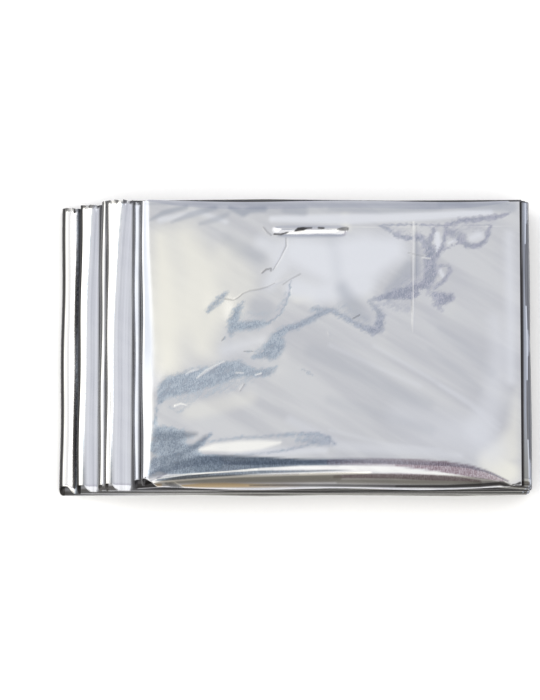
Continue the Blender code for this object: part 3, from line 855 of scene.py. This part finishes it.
def patch_share(kind, px, py):
    """How much of one kind of painted reflection, highlight or shade the film has at each pixel place."""
    mask = np.zeros_like(px)
    if kind == "haze_and_painted_reflection":
        warp = falling(WARP, py)
        bend_x = add_waves(WARP_ACROSS, px, py)
        bend_y = add_waves(WARP_DOWN, px, py)
        px, py = px + warp * bend_x, py + warp * bend_y
    for patch in PATCHES[kind]:
        shown = np.zeros_like(px)
        pieces = len(patch.points) - 1
        for number, (first, last) in enumerate(zip(patch.points, patch.points[1:])):
            away, share = to_segment(px, py, first, last)
            half = first[2] + (last[2] - first[2]) * share
            along = (number + share) / pieces
            strength = patch.strength * (patch.start + (patch.end - patch.start) * along)
            shown = np.maximum(shown, strength * ease((half + patch.soft / 2 - away) / patch.soft))
        if kind in BLENDED_KINDS:
            mask = 1.0 - (1.0 - mask) * (1.0 - shown)
        else:
            mask = np.maximum(mask, shown)
    return mask


def crease_height(px, py, crease):
    """Height of a crease, which fades at its ends."""
    total = len(crease.points) - 1
    height = np.zeros_like(px)
    for number, (first, last) in enumerate(zip(crease.points, crease.points[1:])):
        away, share = to_segment(px, py, first, last)
        place = (number + share) / total
        fade = ease(np.minimum(place, 1.0 - place) * CREASE_FADE + CREASE_END_SHARE)
        height = np.maximum(height, np.exp(-((away * PIXEL / crease.width) ** 2)) * fade)
    return crease.height * height


def crease_distance(px, py):
    """Distance in millimetres to the nearest crease, thin painted dark line or edge of the flap."""
    lines = [crease.points for crease in CREASES] + [patch.points for patch in PATCHES["painted_dark"]]
    lines.append([(end, FLAP_LINE) for end in FLAP_ENDS])
    nearest = np.full_like(px, np.inf)
    for points in lines:
        for first, last in zip(points, points[1:]):
            nearest = np.minimum(nearest, to_segment(px, py, first, last)[0])
    return nearest * PIXEL


def fitted_heights():
    """Heights whose slope towards the back is LEAN inside the hazy strokes and which stay level elsewhere."""
    columns = LEAN_LEFT + np.arange(LEAN_COLUMNS, dtype=float)
    rows = LEAN_TOP + np.arange(LEAN_ROWS, dtype=float)
    px, py = np.meshgrid(columns, rows, indexing="ij")
    slope = np.fft.fft2(-LEAN * patch_share("haze_and_painted_reflection", px, py))
    turn_x = 2 * math.pi * np.fft.fftfreq(LEAN_COLUMNS, PIXEL)[:, None]
    turn_y = 2 * math.pi * np.fft.fftfreq(LEAN_ROWS, PIXEL)[None, :]
    relax = (2 * math.pi / LEAN_RELAX_LENGTH) ** 2
    below = turn_y**2 + LEAN_ACROSS_WEIGHT * turn_x**2 + relax
    return np.real(np.fft.ifft2(-1j * turn_y * slope / below))


LEAN_HEIGHTS = fitted_heights()


def lean_height(px, py):
    """The fitted heights at each pixel place."""
    column = np.clip(px - LEAN_LEFT, 0, LEAN_COLUMNS - 2)
    row = np.clip(py - LEAN_TOP, 0, LEAN_ROWS - 2)
    left, low = np.floor(column).astype(int), np.floor(row).astype(int)
    right_share, high_share = column - left, row - low
    near = LEAN_HEIGHTS[left, low] * (1 - high_share) + LEAN_HEIGHTS[left, low + 1] * high_share
    far = LEAN_HEIGHTS[left + 1, low] * (1 - high_share) + LEAN_HEIGHTS[left + 1, low + 1] * high_share
    return near * (1 - right_share) + far * right_share


def flap_height(px, py):
    """The film that stands up along the back crease."""
    reach = rising(FLAP_LEFT, px) * falling(FLAP_RIGHT, px)
    wave = np.sin(px * FLAP_WAVE + FLAP_SHIFT) * np.cos(px * FLAP_SLOW_WAVE)
    uneven = 1.0 - FLAP_UNEVEN + FLAP_UNEVEN * wave
    above = (FLAP_LINE - py) * PIXEL
    width = np.where(above < 0, FLAP_FRONT, FLAP_BACK)
    return FLAP_HEIGHT * reach * uneven * np.exp(-((above / width) ** 2))


def ripple_height(x, y):
    """Slow ripples, strongest in the front right part."""
    where = rising(RIPPLE_LEFT, x) * falling(RIPPLE_BACK, y) * rising(RIPPLE_FRONT, y)
    height = np.zeros_like(x)
    for ripple in RIPPLES:
        turn = math.radians(ripple.turn)
        along = -x * math.sin(turn) + y * math.cos(turn)
        beside = x * math.cos(turn) + y * math.sin(turn)
        bend = RIPPLE_BEND * np.sin(beside / RIPPLE_BEND_LENGTH + ripple.shift)
        height += ripple.height * np.sin(2 * math.pi * (along + bend) / ripple.length + ripple.shift)
    return where * height


def top_surface(x, y):
    """Points of the outer ply of the top panel, with its creases and hollows."""
    points = surface(0, x, y, np.full_like(x, OUTER_PLY))
    px, py = picture_place(*points.T)
    height = lean_height(px, py) + ripple_height(x, y) + flap_height(px, py)
    for crease in CREASES:
        height = height + crease_height(px, py, crease)
    points[:, 2] += rising(RELIEF_LEFT, x) * falling(RELIEF_RIGHT, x) * height
    return points


def base_grid():
    """The film's columns from the free end of the top panel to that of the lowest. Each has its points, their
    places on the panel, the number of the panel or of the fold below it, and the turn round the fold."""
    columns = []
    for panel_number in range(len(PANELS)):
        for along in columns_of(panel_number):
            columns.append((*panel_column(panel_number, along), panel_number, 0.0))
        if panel_number < len(FOLDS):
            steps = LEFT_FOLD_STEPS if side_of(panel_number) < 0 else RIGHT_FOLD_STEPS
            for step in range(1, steps):
                columns.append((*fold_column(panel_number, step / steps), panel_number, step / steps))
    return columns


def painted_hidden_shade(columns):
    """The painted shade down in the folds and between the plies, for each point of the base grid."""
    darkness = np.zeros((len(columns), len(ROW_PLY)))
    inside = ROW_PLY > 0
    between_plies = np.where(inside & (ROW_PLY < PLIES - 1), PLY_DARKNESS[ROW_PLY], 0.0)
    for number, (_, places, panel_number, turn) in enumerate(columns):
        x, y = places.T
        left = side_of(panel_number) < 0
        has_ledge = left and 0 < panel_number < len(FOLDS)
        dark = np.zeros_like(x)
        if turn > 0 and left:
            dark = dark + rising(FOLD_SHADES[panel_number], turn)
        elif turn > 0:
            dark = dark + rising(RIGHT_FOLD_SHADE, turn)
        elif has_ledge:
            dark = rising(LEDGE_END_SHADE, x - FOLDS[panel_number - 2].reach)
        elif panel_number == 1:
            dark = falling(STEP_END_SHADE, x - TOP_END)
        if has_ledge and turn < RIM_TURN:
            uneven = 1.0 - RIM_UNEVEN + RIM_UNEVEN * np.sin(RIM_WAVE * x + panel_number)
            dark = np.maximum(dark, uneven * rising(RIM_SHADE, y - edges(panel_number, x)[1]))
        fold_number = panel_number - panel_number % 2
        if fold_number < len(FOLDS):
            hollow = hollow_share(fold_number, x, y) * (inside | (turn > HOLLOW_TURN))
            dark = np.maximum(dark, hollow)
        darkness[number] = np.maximum(dark, between_plies)
    return darkness.ravel()


def hollow_share(fold_number, x, y):
    """The painted shade of a point in the open front end of a left fold."""
    front, _ = edges(fold_number, x)
    beside = falling(HOLLOW_SIDE, np.abs(x - fold_centre(fold_number, y)))
    facets = HOLLOW_DARK + HOLLOW_FACETS * np.sin(HOLLOW_WAVE * x + fold_number)
    return facets * beside * falling(HOLLOW_DEPTH, y - front)


def ledge_painted_light(columns):
    """Painted light on the ledges beside the folds: bright highlights, the thin hazy line of reflection where
    each of them ends, and shades.
    """
    ledge_painted = {kind: np.zeros((len(columns), len(ROW_PLY))) for kind in LEDGE_KINDS}
    for number, (_, places, panel_number, turn) in enumerate(columns):
        x, y = places.T
        left = side_of(panel_number) < 0
        if panel_number > 0 and turn == 0:
            under_lip = (ROW_SHARE < FRONT_EDGE_SHARE) & (x > FOLDS[0].reach)
            ledge_painted["painted_grey"][number] = FRONT_EDGE_PAINTED_GREY * under_lip
        if panel_number == 1 and turn == 0:
            ledge_painted["shade"][number] = falling(STEP_GREY, np.abs(x - STEP_MIDDLE))
        if not left and turn > 0:
            ledge_painted["shade"][number] = RIGHT_FOLD_GREY
        if not left or panel_number == 0 or panel_number >= len(FOLDS):
            continue
        fold = FOLDS[panel_number]
        share = ledge_share(panel_number, x, y)
        if panel_number == 2:
            ledge_painted["shade"][number] = SECOND_LEDGE_GREY
        elif turn > 0:
            ledge_painted["bright"][number] = 1.0
        elif fold.puff > 0:
            ledge_painted["bright"][number] = falling(LOWEST_BRIGHT, share)
            ledge_painted["haze_and_painted_reflection"][number] = rising(LOWEST_HAZE_AND_REFLECTION, share)
        elif fold.crown > WIDE_LEDGE_CROWN:
            past = (share - crest_share(panel_number, y)) * (FOLDS[panel_number - 2].reach - fold.reach)
            near_front = falling(CREST_FRONT, y - edges(panel_number, x)[0])
            width = CREST_LINE_WIDTH + CREST_LINE_GROWTH * near_front
            line = near_front * ease(1.0 - np.abs(past - CREST_LINE) / width)
            streak = add_waves(STREAK_WAVES, past, y)
            ledge_painted["bright"][number] = falling(CREST_BRIGHT, past)
            ledge_painted["painted_dark"][number] = CREST_LINE_DARK * line
            ledge_painted["haze_and_painted_reflection"][number] = falling(CREST_HAZE_AND_REFLECTION, np.abs(past))
            ledge_painted["pale"][number] = LEDGE_PALE + LEDGE_PALE_STREAKS * streak
            ledge_painted["shade"][number] = LEDGE_SHADE - LEDGE_SHADE_STREAKS * streak
    return ledge_painted


def film_shape():
    """The whole film as one open mesh, with the painted reflection, highlight and shade of each point. It is
    cut while it lies flat, and then each point gets its own place."""
    columns = base_grid()
    count, rows = len(columns), len(ROW_PLY)
    number = np.arange(count * rows).reshape(count, rows)
    corners = (number[:-1, :-1], number[:-1, 1:], number[1:, 1:], number[1:, :-1])
    faces = np.stack(corners, axis=-1)
    top_columns = len(columns_of(0))
    is_top = np.zeros(faces.shape[:2], dtype=bool)
    is_top[: top_columns - 1, : OUTER_ROWS - 1] = True
    points = np.concatenate([column[0] for column in columns])
    places = np.concatenate([column[1] for column in columns])
    mesh = bpy.data.meshes.new("foil_film")
    laid_out = np.column_stack((places, np.zeros(len(places))))
    mesh.from_pydata(laid_out.tolist(), [], faces.reshape(-1, 4).tolist())
    mesh.polygons.foreach_set("material_index", is_top.ravel().astype(np.int32))
    cut_top(mesh)
    flat = np.empty(3 * len(mesh.vertices))
    mesh.vertices.foreach_get("co", flat)
    flat = flat.reshape(-1, 3)
    top = np.zeros(len(flat), dtype=bool)
    top[number[:top_columns, :OUTER_ROWS].ravel()] = True
    top[len(points):] = True
    placed = np.concatenate((points, np.zeros((len(flat) - len(points), 3))))
    placed[top] = top_surface(flat[top, 0], flat[top, 1])
    mesh.vertices.foreach_set("co", (placed * MM).ravel())
    for kind, value in film_painted_light(columns, placed, top).items():
        layer = mesh.attributes.new(kind, "FLOAT", "POINT")
        layer.data.foreach_set("value", value.astype(np.float32))
    mesh.shade_smooth()
    mesh.update()
    return mesh


def cut_top(mesh):
    """Cuts the top, whose faces are marked by material index 1, into smaller faces, and clears the marks."""
    shape = bmesh.new()
    shape.from_mesh(mesh)
    refine(shape, [face for face in shape.faces if face.material_index], TOP_CUTS)
    refine(shape, near_creases(shape), CREASE_CUTS)
    for face in shape.faces:
        face.material_index = 0
    shape.to_mesh(mesh)
    shape.free()


def near_creases(shape):
    """The faces of the top that lie near a crease."""
    chosen = [face for face in shape.faces if face.material_index]
    middles = np.array([face.calc_center_median()[:2] for face in chosen])
    top = surface(0, middles[:, 0], middles[:, 1], np.full(len(middles), OUTER_PLY))
    near = crease_distance(*picture_place(*top.T)) < CREASE_NEAR
    return [face for face, wanted in zip(chosen, near) if wanted]


def refine(shape, faces, cuts):
    """Cuts the edges of some faces into more pieces and fills them with smaller faces."""
    cut_edges = {edge for face in faces for edge in face.edges}
    bmesh.ops.subdivide_edges(shape, edges=list(cut_edges), cuts=cuts, use_grid_fill=True)


def film_painted_light(columns, placed, top):
    """The share of each kind of painted reflection, highlight and shade, for each point of the film."""
    base = len(columns) * len(ROW_PLY)
    painted_light = {kind: np.zeros(len(placed)) for kind in PATCHES}
    px, py = picture_place(*placed[top].T)
    for kind in PATCHES:
        painted_light[kind][top] = patch_share(kind, px, py)
    for kind, share in ledge_painted_light(columns).items():
        painted_light[kind][:base] = np.maximum(painted_light[kind][:base], share.ravel())
    darkness = painted_hidden_shade(columns)
    painted_light["painted_dark"][:base] = np.maximum(painted_light["painted_dark"][:base], np.where(top[:base], 0.0, darkness))
    return painted_light


class Graph:
    """A node tree with short ways to add what the materials need."""

    # The colour sockets of a Mix node
    FIRST_COLOUR = 6
    SECOND_COLOUR = 7
    MIXED_COLOUR = 2

    def __init__(self, tree):
        self.tree = tree

    def node(self, kind, values=None, **settings):
        node = self.tree.nodes.new(kind)
        for name, value in settings.items():
            setattr(node, name, value)
        for name, value in (values or {}).items():
            self.feed(node.inputs[name], value)
        return node

    def feed(self, socket, value):
        if isinstance(value, bpy.types.NodeSocket):
            self.tree.links.new(value, socket)
        else:
            socket.default_value = value

    def noise(self, place, kind):
        """Noise stretched along a direction, kind.turn degrees about Z."""
        turn = (0.0, 0.0, math.radians(kind.turn))
        turned = self.node("ShaderNodeMapping", {"Vector": place, "Rotation": turn})
        scaled = self.node("ShaderNodeMapping", {"Vector": turned.outputs[0], "Scale": kind.scale})
        values = {"Vector": scaled.outputs[0], "Scale": 1.0, "Detail": kind.detail}
        return self.node("ShaderNodeTexNoise", values).outputs["Fac"]

    def math(self, operation, *values):
        return self.node("ShaderNodeMath", dict(enumerate(values)), operation=operation).outputs[0]

    def between(self, value, low, high, new_low=0.0, new_high=1.0):
        """value eased from low and high to the new ones."""
        values = {"Value": value, "From Min": low, "From Max": high, "To Min": new_low, "To Max": new_high}
        return self.node("ShaderNodeMapRange", values, interpolation_type="SMOOTHSTEP").outputs["Result"]

    def line(self, value, low, high):
        """0 at low and 1 at high, straight between them."""
        values = {"Value": value, "From Min": low, "From Max": high}
        return self.node("ShaderNodeMapRange", values).outputs["Result"]

    def mix(self, share, first, second):
        node = self.node("ShaderNodeMix", data_type="RGBA")
        self.feed(node.inputs["Factor"], share)
        self.feed(node.inputs[self.FIRST_COLOUR], first)
        self.feed(node.inputs[self.SECOND_COLOUR], second)
        return node.outputs[self.MIXED_COLOUR]

    def ramp(self, value, stops):
        node = self.node("ShaderNodeValToRGB", {"Fac": value})
        elements = node.color_ramp.elements
        while len(elements) < len(stops):
            elements.new(0.5)
        for element, (place, colour) in zip(elements, stops):
            element.position = place
            element.color = (*colour, 1.0)
        return node.outputs["Color"]

    def kind(self, name):
        """A share of painted reflection, highlight or shade that the mesh carries."""
        return self.node("ShaderNodeAttribute", attribute_name=name).outputs["Fac"]


# The film's own silver, and the colours of the reflections, highlights and shade painted on it. The painted
# # reflection in the haze is bluish at the left and mauve at the right.
SILVER = (0.570, 0.580, 0.625, 1.0)
SILVER_LIGHT = (0.665, 0.675, 0.705, 1.0)
WARM = (0.88, 0.87, 0.81, 1.0)
PALE = (0.78, 0.80, 0.86, 1.0)
SHADE = (0.38, 0.41, 0.48, 1.0)
HAZE_REFLECTION_BLUE = (0.250, 0.315, 0.400, 1.0)
HAZE_REFLECTION_BLUE_LIGHT = (0.49, 0.55, 0.62, 1.0)
HAZE_REFLECTION_MAUVE = (0.25, 0.28, 0.37, 1.0)
HAZE_REFLECTION_MAUVE_LIGHT = (0.48, 0.49, 0.57, 1.0)
DUSK = (0.070, 0.095, 0.135, 1.0)
DUSK_LIGHT = (0.150, 0.190, 0.250, 1.0)
MAUVE = (0.215, 0.165, 0.198, 1.0)
MAUVE_LIGHT = (0.37, 0.335, 0.385, 1.0)
PAINTED_GREY = (0.28, 0.28, 0.255, 1.0)
BROWN = (0.50, 0.38, 0.22, 1.0)
BRIGHT = (0.98, 0.975, 0.95, 1.0)
PAINTED_DARK = (0.030, 0.028, 0.030, 1.0)
# Where along x, in metres, the reflection painted into the haze turns from bluish to mauve
MAUVE_START = -0.01
MAUVE_FULL = 0.04

# The film's noises: the turn in degrees, the scale along each axis and the detail
Noise = namedtuple("Noise", "turn scale detail")
CLOUDS = Noise(0.0, (60.0, 60.0, 60.0), 3.0)
STREAKS = Noise(30.0, (24.0, 210.0, 100.0), 3.0)
HAIRS = Noise(-38.0, (280.0, 3600.0, 500.0), 2.0)
UPRIGHT = Noise(0.0, (4200.0, 900.0, 500.0), 1.0)
GRAIN = Noise(-38.0, (2600.0, 4200.0, 2000.0), 3.0)
PATCHY = Noise(-38.0, (380.0, 900.0, 500.0), 3.0)
SOFT_NOISE = (0.3, 0.7)
SHARP_NOISE = (0.34, 0.66)

# How ragged each noise makes the haze and its painted reflection, and the limits between which the haze, the
# # tone of its painted reflection and the specks of the painted dark bands show
RAGGED_SPECKLE = 0.36
RAGGED_PATCHY = 0.42
RAGGED_HAIRS = 0.16
RAGGED_UPRIGHT = 0.22
NEAR_HAZE_AND_REFLECTION = (0.0, 0.35)
HAZE_AND_REFLECTION_LIMITS = (0.08, 1.05)
TONE_LIMITS = (0.6, 2.2)
SPECK_LIMITS = (0.35, 1.85)

# Roughness of the clean film, and what the haze and the painted shadow add to it
CLEAN_ROUGHNESS = (0.08, 0.13)
HAZE_ROUGHNESS = 0.12
DEEP_ROUGHNESS = 0.3
BUMP_STRENGTH = 0.35
BUMP_DISTANCE = 0.00002


def film_material():
    material = bpy.data.materials.new("metallised_film")
    material.use_nodes = True
    graph = Graph(material.node_tree)
    shader = material.node_tree.nodes["Principled BSDF"]
    place = graph.node("ShaderNodeTexCoord").outputs["Object"]
    hairs = graph.between(graph.noise(place, HAIRS), *SHARP_NOISE)
    upright = graph.between(graph.noise(place, UPRIGHT), *SHARP_NOISE)
    patchy = graph.between(graph.noise(place, PATCHY), *SHARP_NOISE)
    grain = graph.noise(place, GRAIN)
    speckle = graph.between(grain, *SHARP_NOISE)
    colour = graph.mix(graph.between(graph.noise(place, STREAKS), *SOFT_NOISE), SILVER, SILVER_LIGHT)
    # Painted cream and pale reflections and painted shade over the film's own silver
    colour = graph.mix(graph.kind("warm"), colour, WARM)
    colour = graph.mix(graph.kind("pale"), colour, PALE)
    colour = graph.mix(graph.kind("shade"), colour, SHADE)
    ragged = graph.kind("haze_and_painted_reflection")
    near = graph.between(ragged, *NEAR_HAZE_AND_REFLECTION)
    ragged_by = (
        (speckle, RAGGED_SPECKLE),
        (patchy, RAGGED_PATCHY),
        (hairs, RAGGED_HAIRS),
        (upright, RAGGED_UPRIGHT),
    )
    for noise, strength in ragged_by:
        uneven = graph.math("MULTIPLY", graph.math("SUBTRACT", noise, 0.5), near)
        ragged = graph.math("MULTIPLY_ADD", uneven, strength, ragged)
    haze_and_painted_reflection = graph.between(ragged, *HAZE_AND_REFLECTION_LIMITS)
    # The reflection painted into the haze: bluish at the left, mauve at the right, with a ragged tone
    along = graph.node("ShaderNodeSeparateXYZ", {"Vector": place}).outputs["X"]
    rightward = graph.between(along, MAUVE_START, MAUVE_FULL)
    dark = graph.mix(rightward, HAZE_REFLECTION_BLUE, HAZE_REFLECTION_MAUVE)
    light = graph.mix(rightward, HAZE_REFLECTION_BLUE_LIGHT, HAZE_REFLECTION_MAUVE_LIGHT)
    tone = graph.math("ADD", speckle, graph.math("ADD", upright, patchy))
    hazy = graph.mix(graph.between(tone, *TONE_LIMITS), dark, light)
    colour = graph.mix(haze_and_painted_reflection, colour, hazy)
    # Painted dark, mauve, grey and brown reflections, painted highlights and painted shadow
    speckled = graph.between(graph.math("ADD", speckle, upright), *SPECK_LIMITS)
    colour = graph.mix(graph.kind("dusk"), colour, graph.mix(speckled, DUSK, DUSK_LIGHT))
    colour = graph.mix(graph.kind("mauve"), colour, graph.mix(speckled, MAUVE, MAUVE_LIGHT))
    colour = graph.mix(graph.kind("painted_grey"), colour, PAINTED_GREY)
    colour = graph.mix(graph.kind("brown"), colour, BROWN)
    colour = graph.mix(graph.kind("bright"), colour, BRIGHT)
    painted_dark = graph.kind("painted_dark")
    colour = graph.mix(painted_dark, colour, PAINTED_DARK)
    graph.feed(shader.inputs["Base Color"], colour)
    shader.inputs["Metallic"].default_value = 1.0
    rough = graph.between(graph.noise(place, CLOUDS), *SOFT_NOISE, *CLEAN_ROUGHNESS)
    rough = graph.math("MULTIPLY_ADD", haze_and_painted_reflection, HAZE_ROUGHNESS, rough)
    rough = graph.math("MULTIPLY_ADD", painted_dark, DEEP_ROUGHNESS, rough)
    graph.feed(shader.inputs["Roughness"], rough)
    values = {"Strength": BUMP_STRENGTH, "Distance": BUMP_DISTANCE, "Height": grain}
    graph.feed(shader.inputs["Normal"], graph.node("ShaderNodeBump", values).outputs["Normal"])
    return material


# The studio's colours by the x of a direction, from the far left to the far right
LEFT_TO_RIGHT = (
    (0.00, (0.38, 0.38, 0.40)),
    (0.05, (0.42, 0.42, 0.43)),
    (0.09, (1.9, 1.88, 1.82)),
    (0.36, (1.9, 1.88, 1.82)),
    (0.46, (1.00, 0.99, 0.96)),
    (0.50, (0.93, 0.93, 0.92)),
    (0.56, (0.92, 0.92, 0.93)),
    (0.68, (0.80, 0.80, 0.83)),
    (0.76, (1.5, 1.5, 1.5)),
    (0.88, (1.5, 1.5, 1.5)),
    (0.94, (0.80, 0.80, 0.82)),
    (1.00, (0.50, 0.50, 0.52)),
)
# The same from the lowest front to overhead, by the y of a direction
FRONT_RISE = (
    (0.00, (0.9, 0.88, 0.84)),
    (0.03, (0.45, 0.42, 0.38)),
    (0.10, (0.42, 0.39, 0.34)),
    (0.25, (0.55, 0.52, 0.47)),
    (0.30, (1.3, 1.28, 1.22)),
    (0.72, (1.35, 1.33, 1.29)),
    (0.84, (1.35, 1.33, 1.29)),
    (1.00, (1.0, 1.0, 1.0)),
)
# The darker gap overhead, between the boxes at the front, the back and the left, and where it turns mauve
GAP_FRONT = -0.15
GAP_BACK = 0.07
GAP_LEFT = -0.12
GAP_SOFT = 0.025
GAP_BACK_SOFT = 0.06
GAP_BLUE = (0.69, 0.715, 0.765, 1.0)
GAP_MAUVE = (0.73, 0.71, 0.75, 1.0)
GAP_TURN = (-0.02, 0.12)
BACK_WALL = 0.5
BACK_WALL_SOFT = 0.08
BACK_COLOUR = (0.78, 0.79, 0.83, 1.0)

# A wide soft lamp from above, for the floor alone
LAMP_POWER = 1.1
LAMP_ANGLE = 120.0

# The floor: its size in metres, its faint specks and its roughness
FLOOR_SIZE = 8.0
FLOOR_DARK = (0.9, 0.9, 0.9, 1.0)
FLOOR_LIGHT = (0.93, 0.93, 0.93, 1.0)
FLOOR_SCALE = 900.0
FLOOR_DETAIL = 2.0
FLOOR_ROUGHNESS = 0.9


def studio_world():
    """Soft boxes and darker gaps round the packet, as colours by direction."""
    world = bpy.data.worlds.new("studio")
    world.use_nodes = True
    bpy.context.scene.world = world
    graph = Graph(world.node_tree)
    way = graph.node("ShaderNodeTexCoord").outputs["Generated"]
    parts = graph.node("ShaderNodeSeparateXYZ", {"Vector": way}).outputs
    colour = graph.ramp(graph.line(parts["X"], -1.0, 1.0), LEFT_TO_RIGHT)
    behind = graph.between(parts["Y"], GAP_FRONT - GAP_SOFT, GAP_FRONT + GAP_SOFT)
    before = graph.between(parts["Y"], GAP_BACK + GAP_BACK_SOFT, GAP_BACK - GAP_BACK_SOFT)
    beside = graph.between(parts["X"], GAP_LEFT - GAP_SOFT, GAP_LEFT + GAP_SOFT)
    gap = graph.math("MULTIPLY", graph.math("MULTIPLY", behind, before), beside)
    gap_colour = graph.mix(graph.between(parts["X"], *GAP_TURN), GAP_BLUE, GAP_MAUVE)
    colour = graph.mix(gap, colour, gap_colour)
    front = graph.between(parts["Y"], GAP_FRONT + GAP_SOFT, GAP_FRONT - GAP_SOFT)
    colour = graph.mix(front, colour, graph.ramp(graph.line(parts["Y"], -1.0, 0.0), FRONT_RISE))
    back = graph.between(parts["Y"], BACK_WALL - BACK_WALL_SOFT, BACK_WALL + BACK_WALL_SOFT)
    colour = graph.mix(back, colour, BACK_COLOUR)
    background = world.node_tree.nodes["Background"]
    graph.feed(background.inputs["Color"], colour)
    background.inputs["Strength"].default_value = 1.0


def make_lamp():
    data = bpy.data.lights.new("soft_lamp", "SUN")
    data.energy = LAMP_POWER
    data.angle = math.radians(LAMP_ANGLE)
    lamp = bpy.data.objects.new("soft_lamp", data)
    lamp.visible_glossy = False
    bpy.context.scene.collection.objects.link(lamp)


def make_floor():
    bpy.ops.mesh.primitive_plane_add(size=FLOOR_SIZE, location=(0.0, 0.0, 0.0))
    floor = bpy.context.object
    floor.name = "studio_floor"
    material = bpy.data.materials.new("pale_floor")
    material.use_nodes = True
    graph = Graph(material.node_tree)
    shader = material.node_tree.nodes["Principled BSDF"]
    place = graph.node("ShaderNodeTexCoord").outputs["Object"]
    values = {"Vector": place, "Scale": FLOOR_SCALE, "Detail": FLOOR_DETAIL}
    specks = graph.node("ShaderNodeTexNoise", values).outputs["Fac"]
    graph.feed(shader.inputs["Base Color"], graph.mix(specks, FLOOR_DARK, FLOOR_LIGHT))
    shader.inputs["Roughness"].default_value = FLOOR_ROUGHNESS
    floor.data.materials.append(material)


def make_camera():
    rise = math.radians(CAMERA_ELEVATION)
    aim = Vector(AIM) * MM
    away = Vector((0.0, -math.cos(rise), math.sin(rise)))
    data = bpy.data.cameras.new("camera")
    data.sensor_width = SENSOR
    data.lens = SENSOR * CAMERA_DISTANCE / (PIXEL * FRAME_HEIGHT_PIXELS)
    data.clip_end = CLIP_END
    camera = bpy.data.objects.new("camera", data)
    bpy.context.scene.collection.objects.link(camera)
    turn = (-away).to_track_quat("-Z", "Y").to_matrix().to_4x4()
    camera.matrix_world = Matrix.Translation(aim + away * CAMERA_DISTANCE * MM) @ turn
    bpy.context.scene.camera = camera


make_camera()
studio_world()
make_lamp()
make_floor()
film = bpy.data.objects.new("foil_film", film_shape())
bpy.context.scene.collection.objects.link(film)
film.data.materials.append(film_material())
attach(film, "root")
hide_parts("blanket_film")
bpy.context.scene.view_settings.view_transform = "Standard"
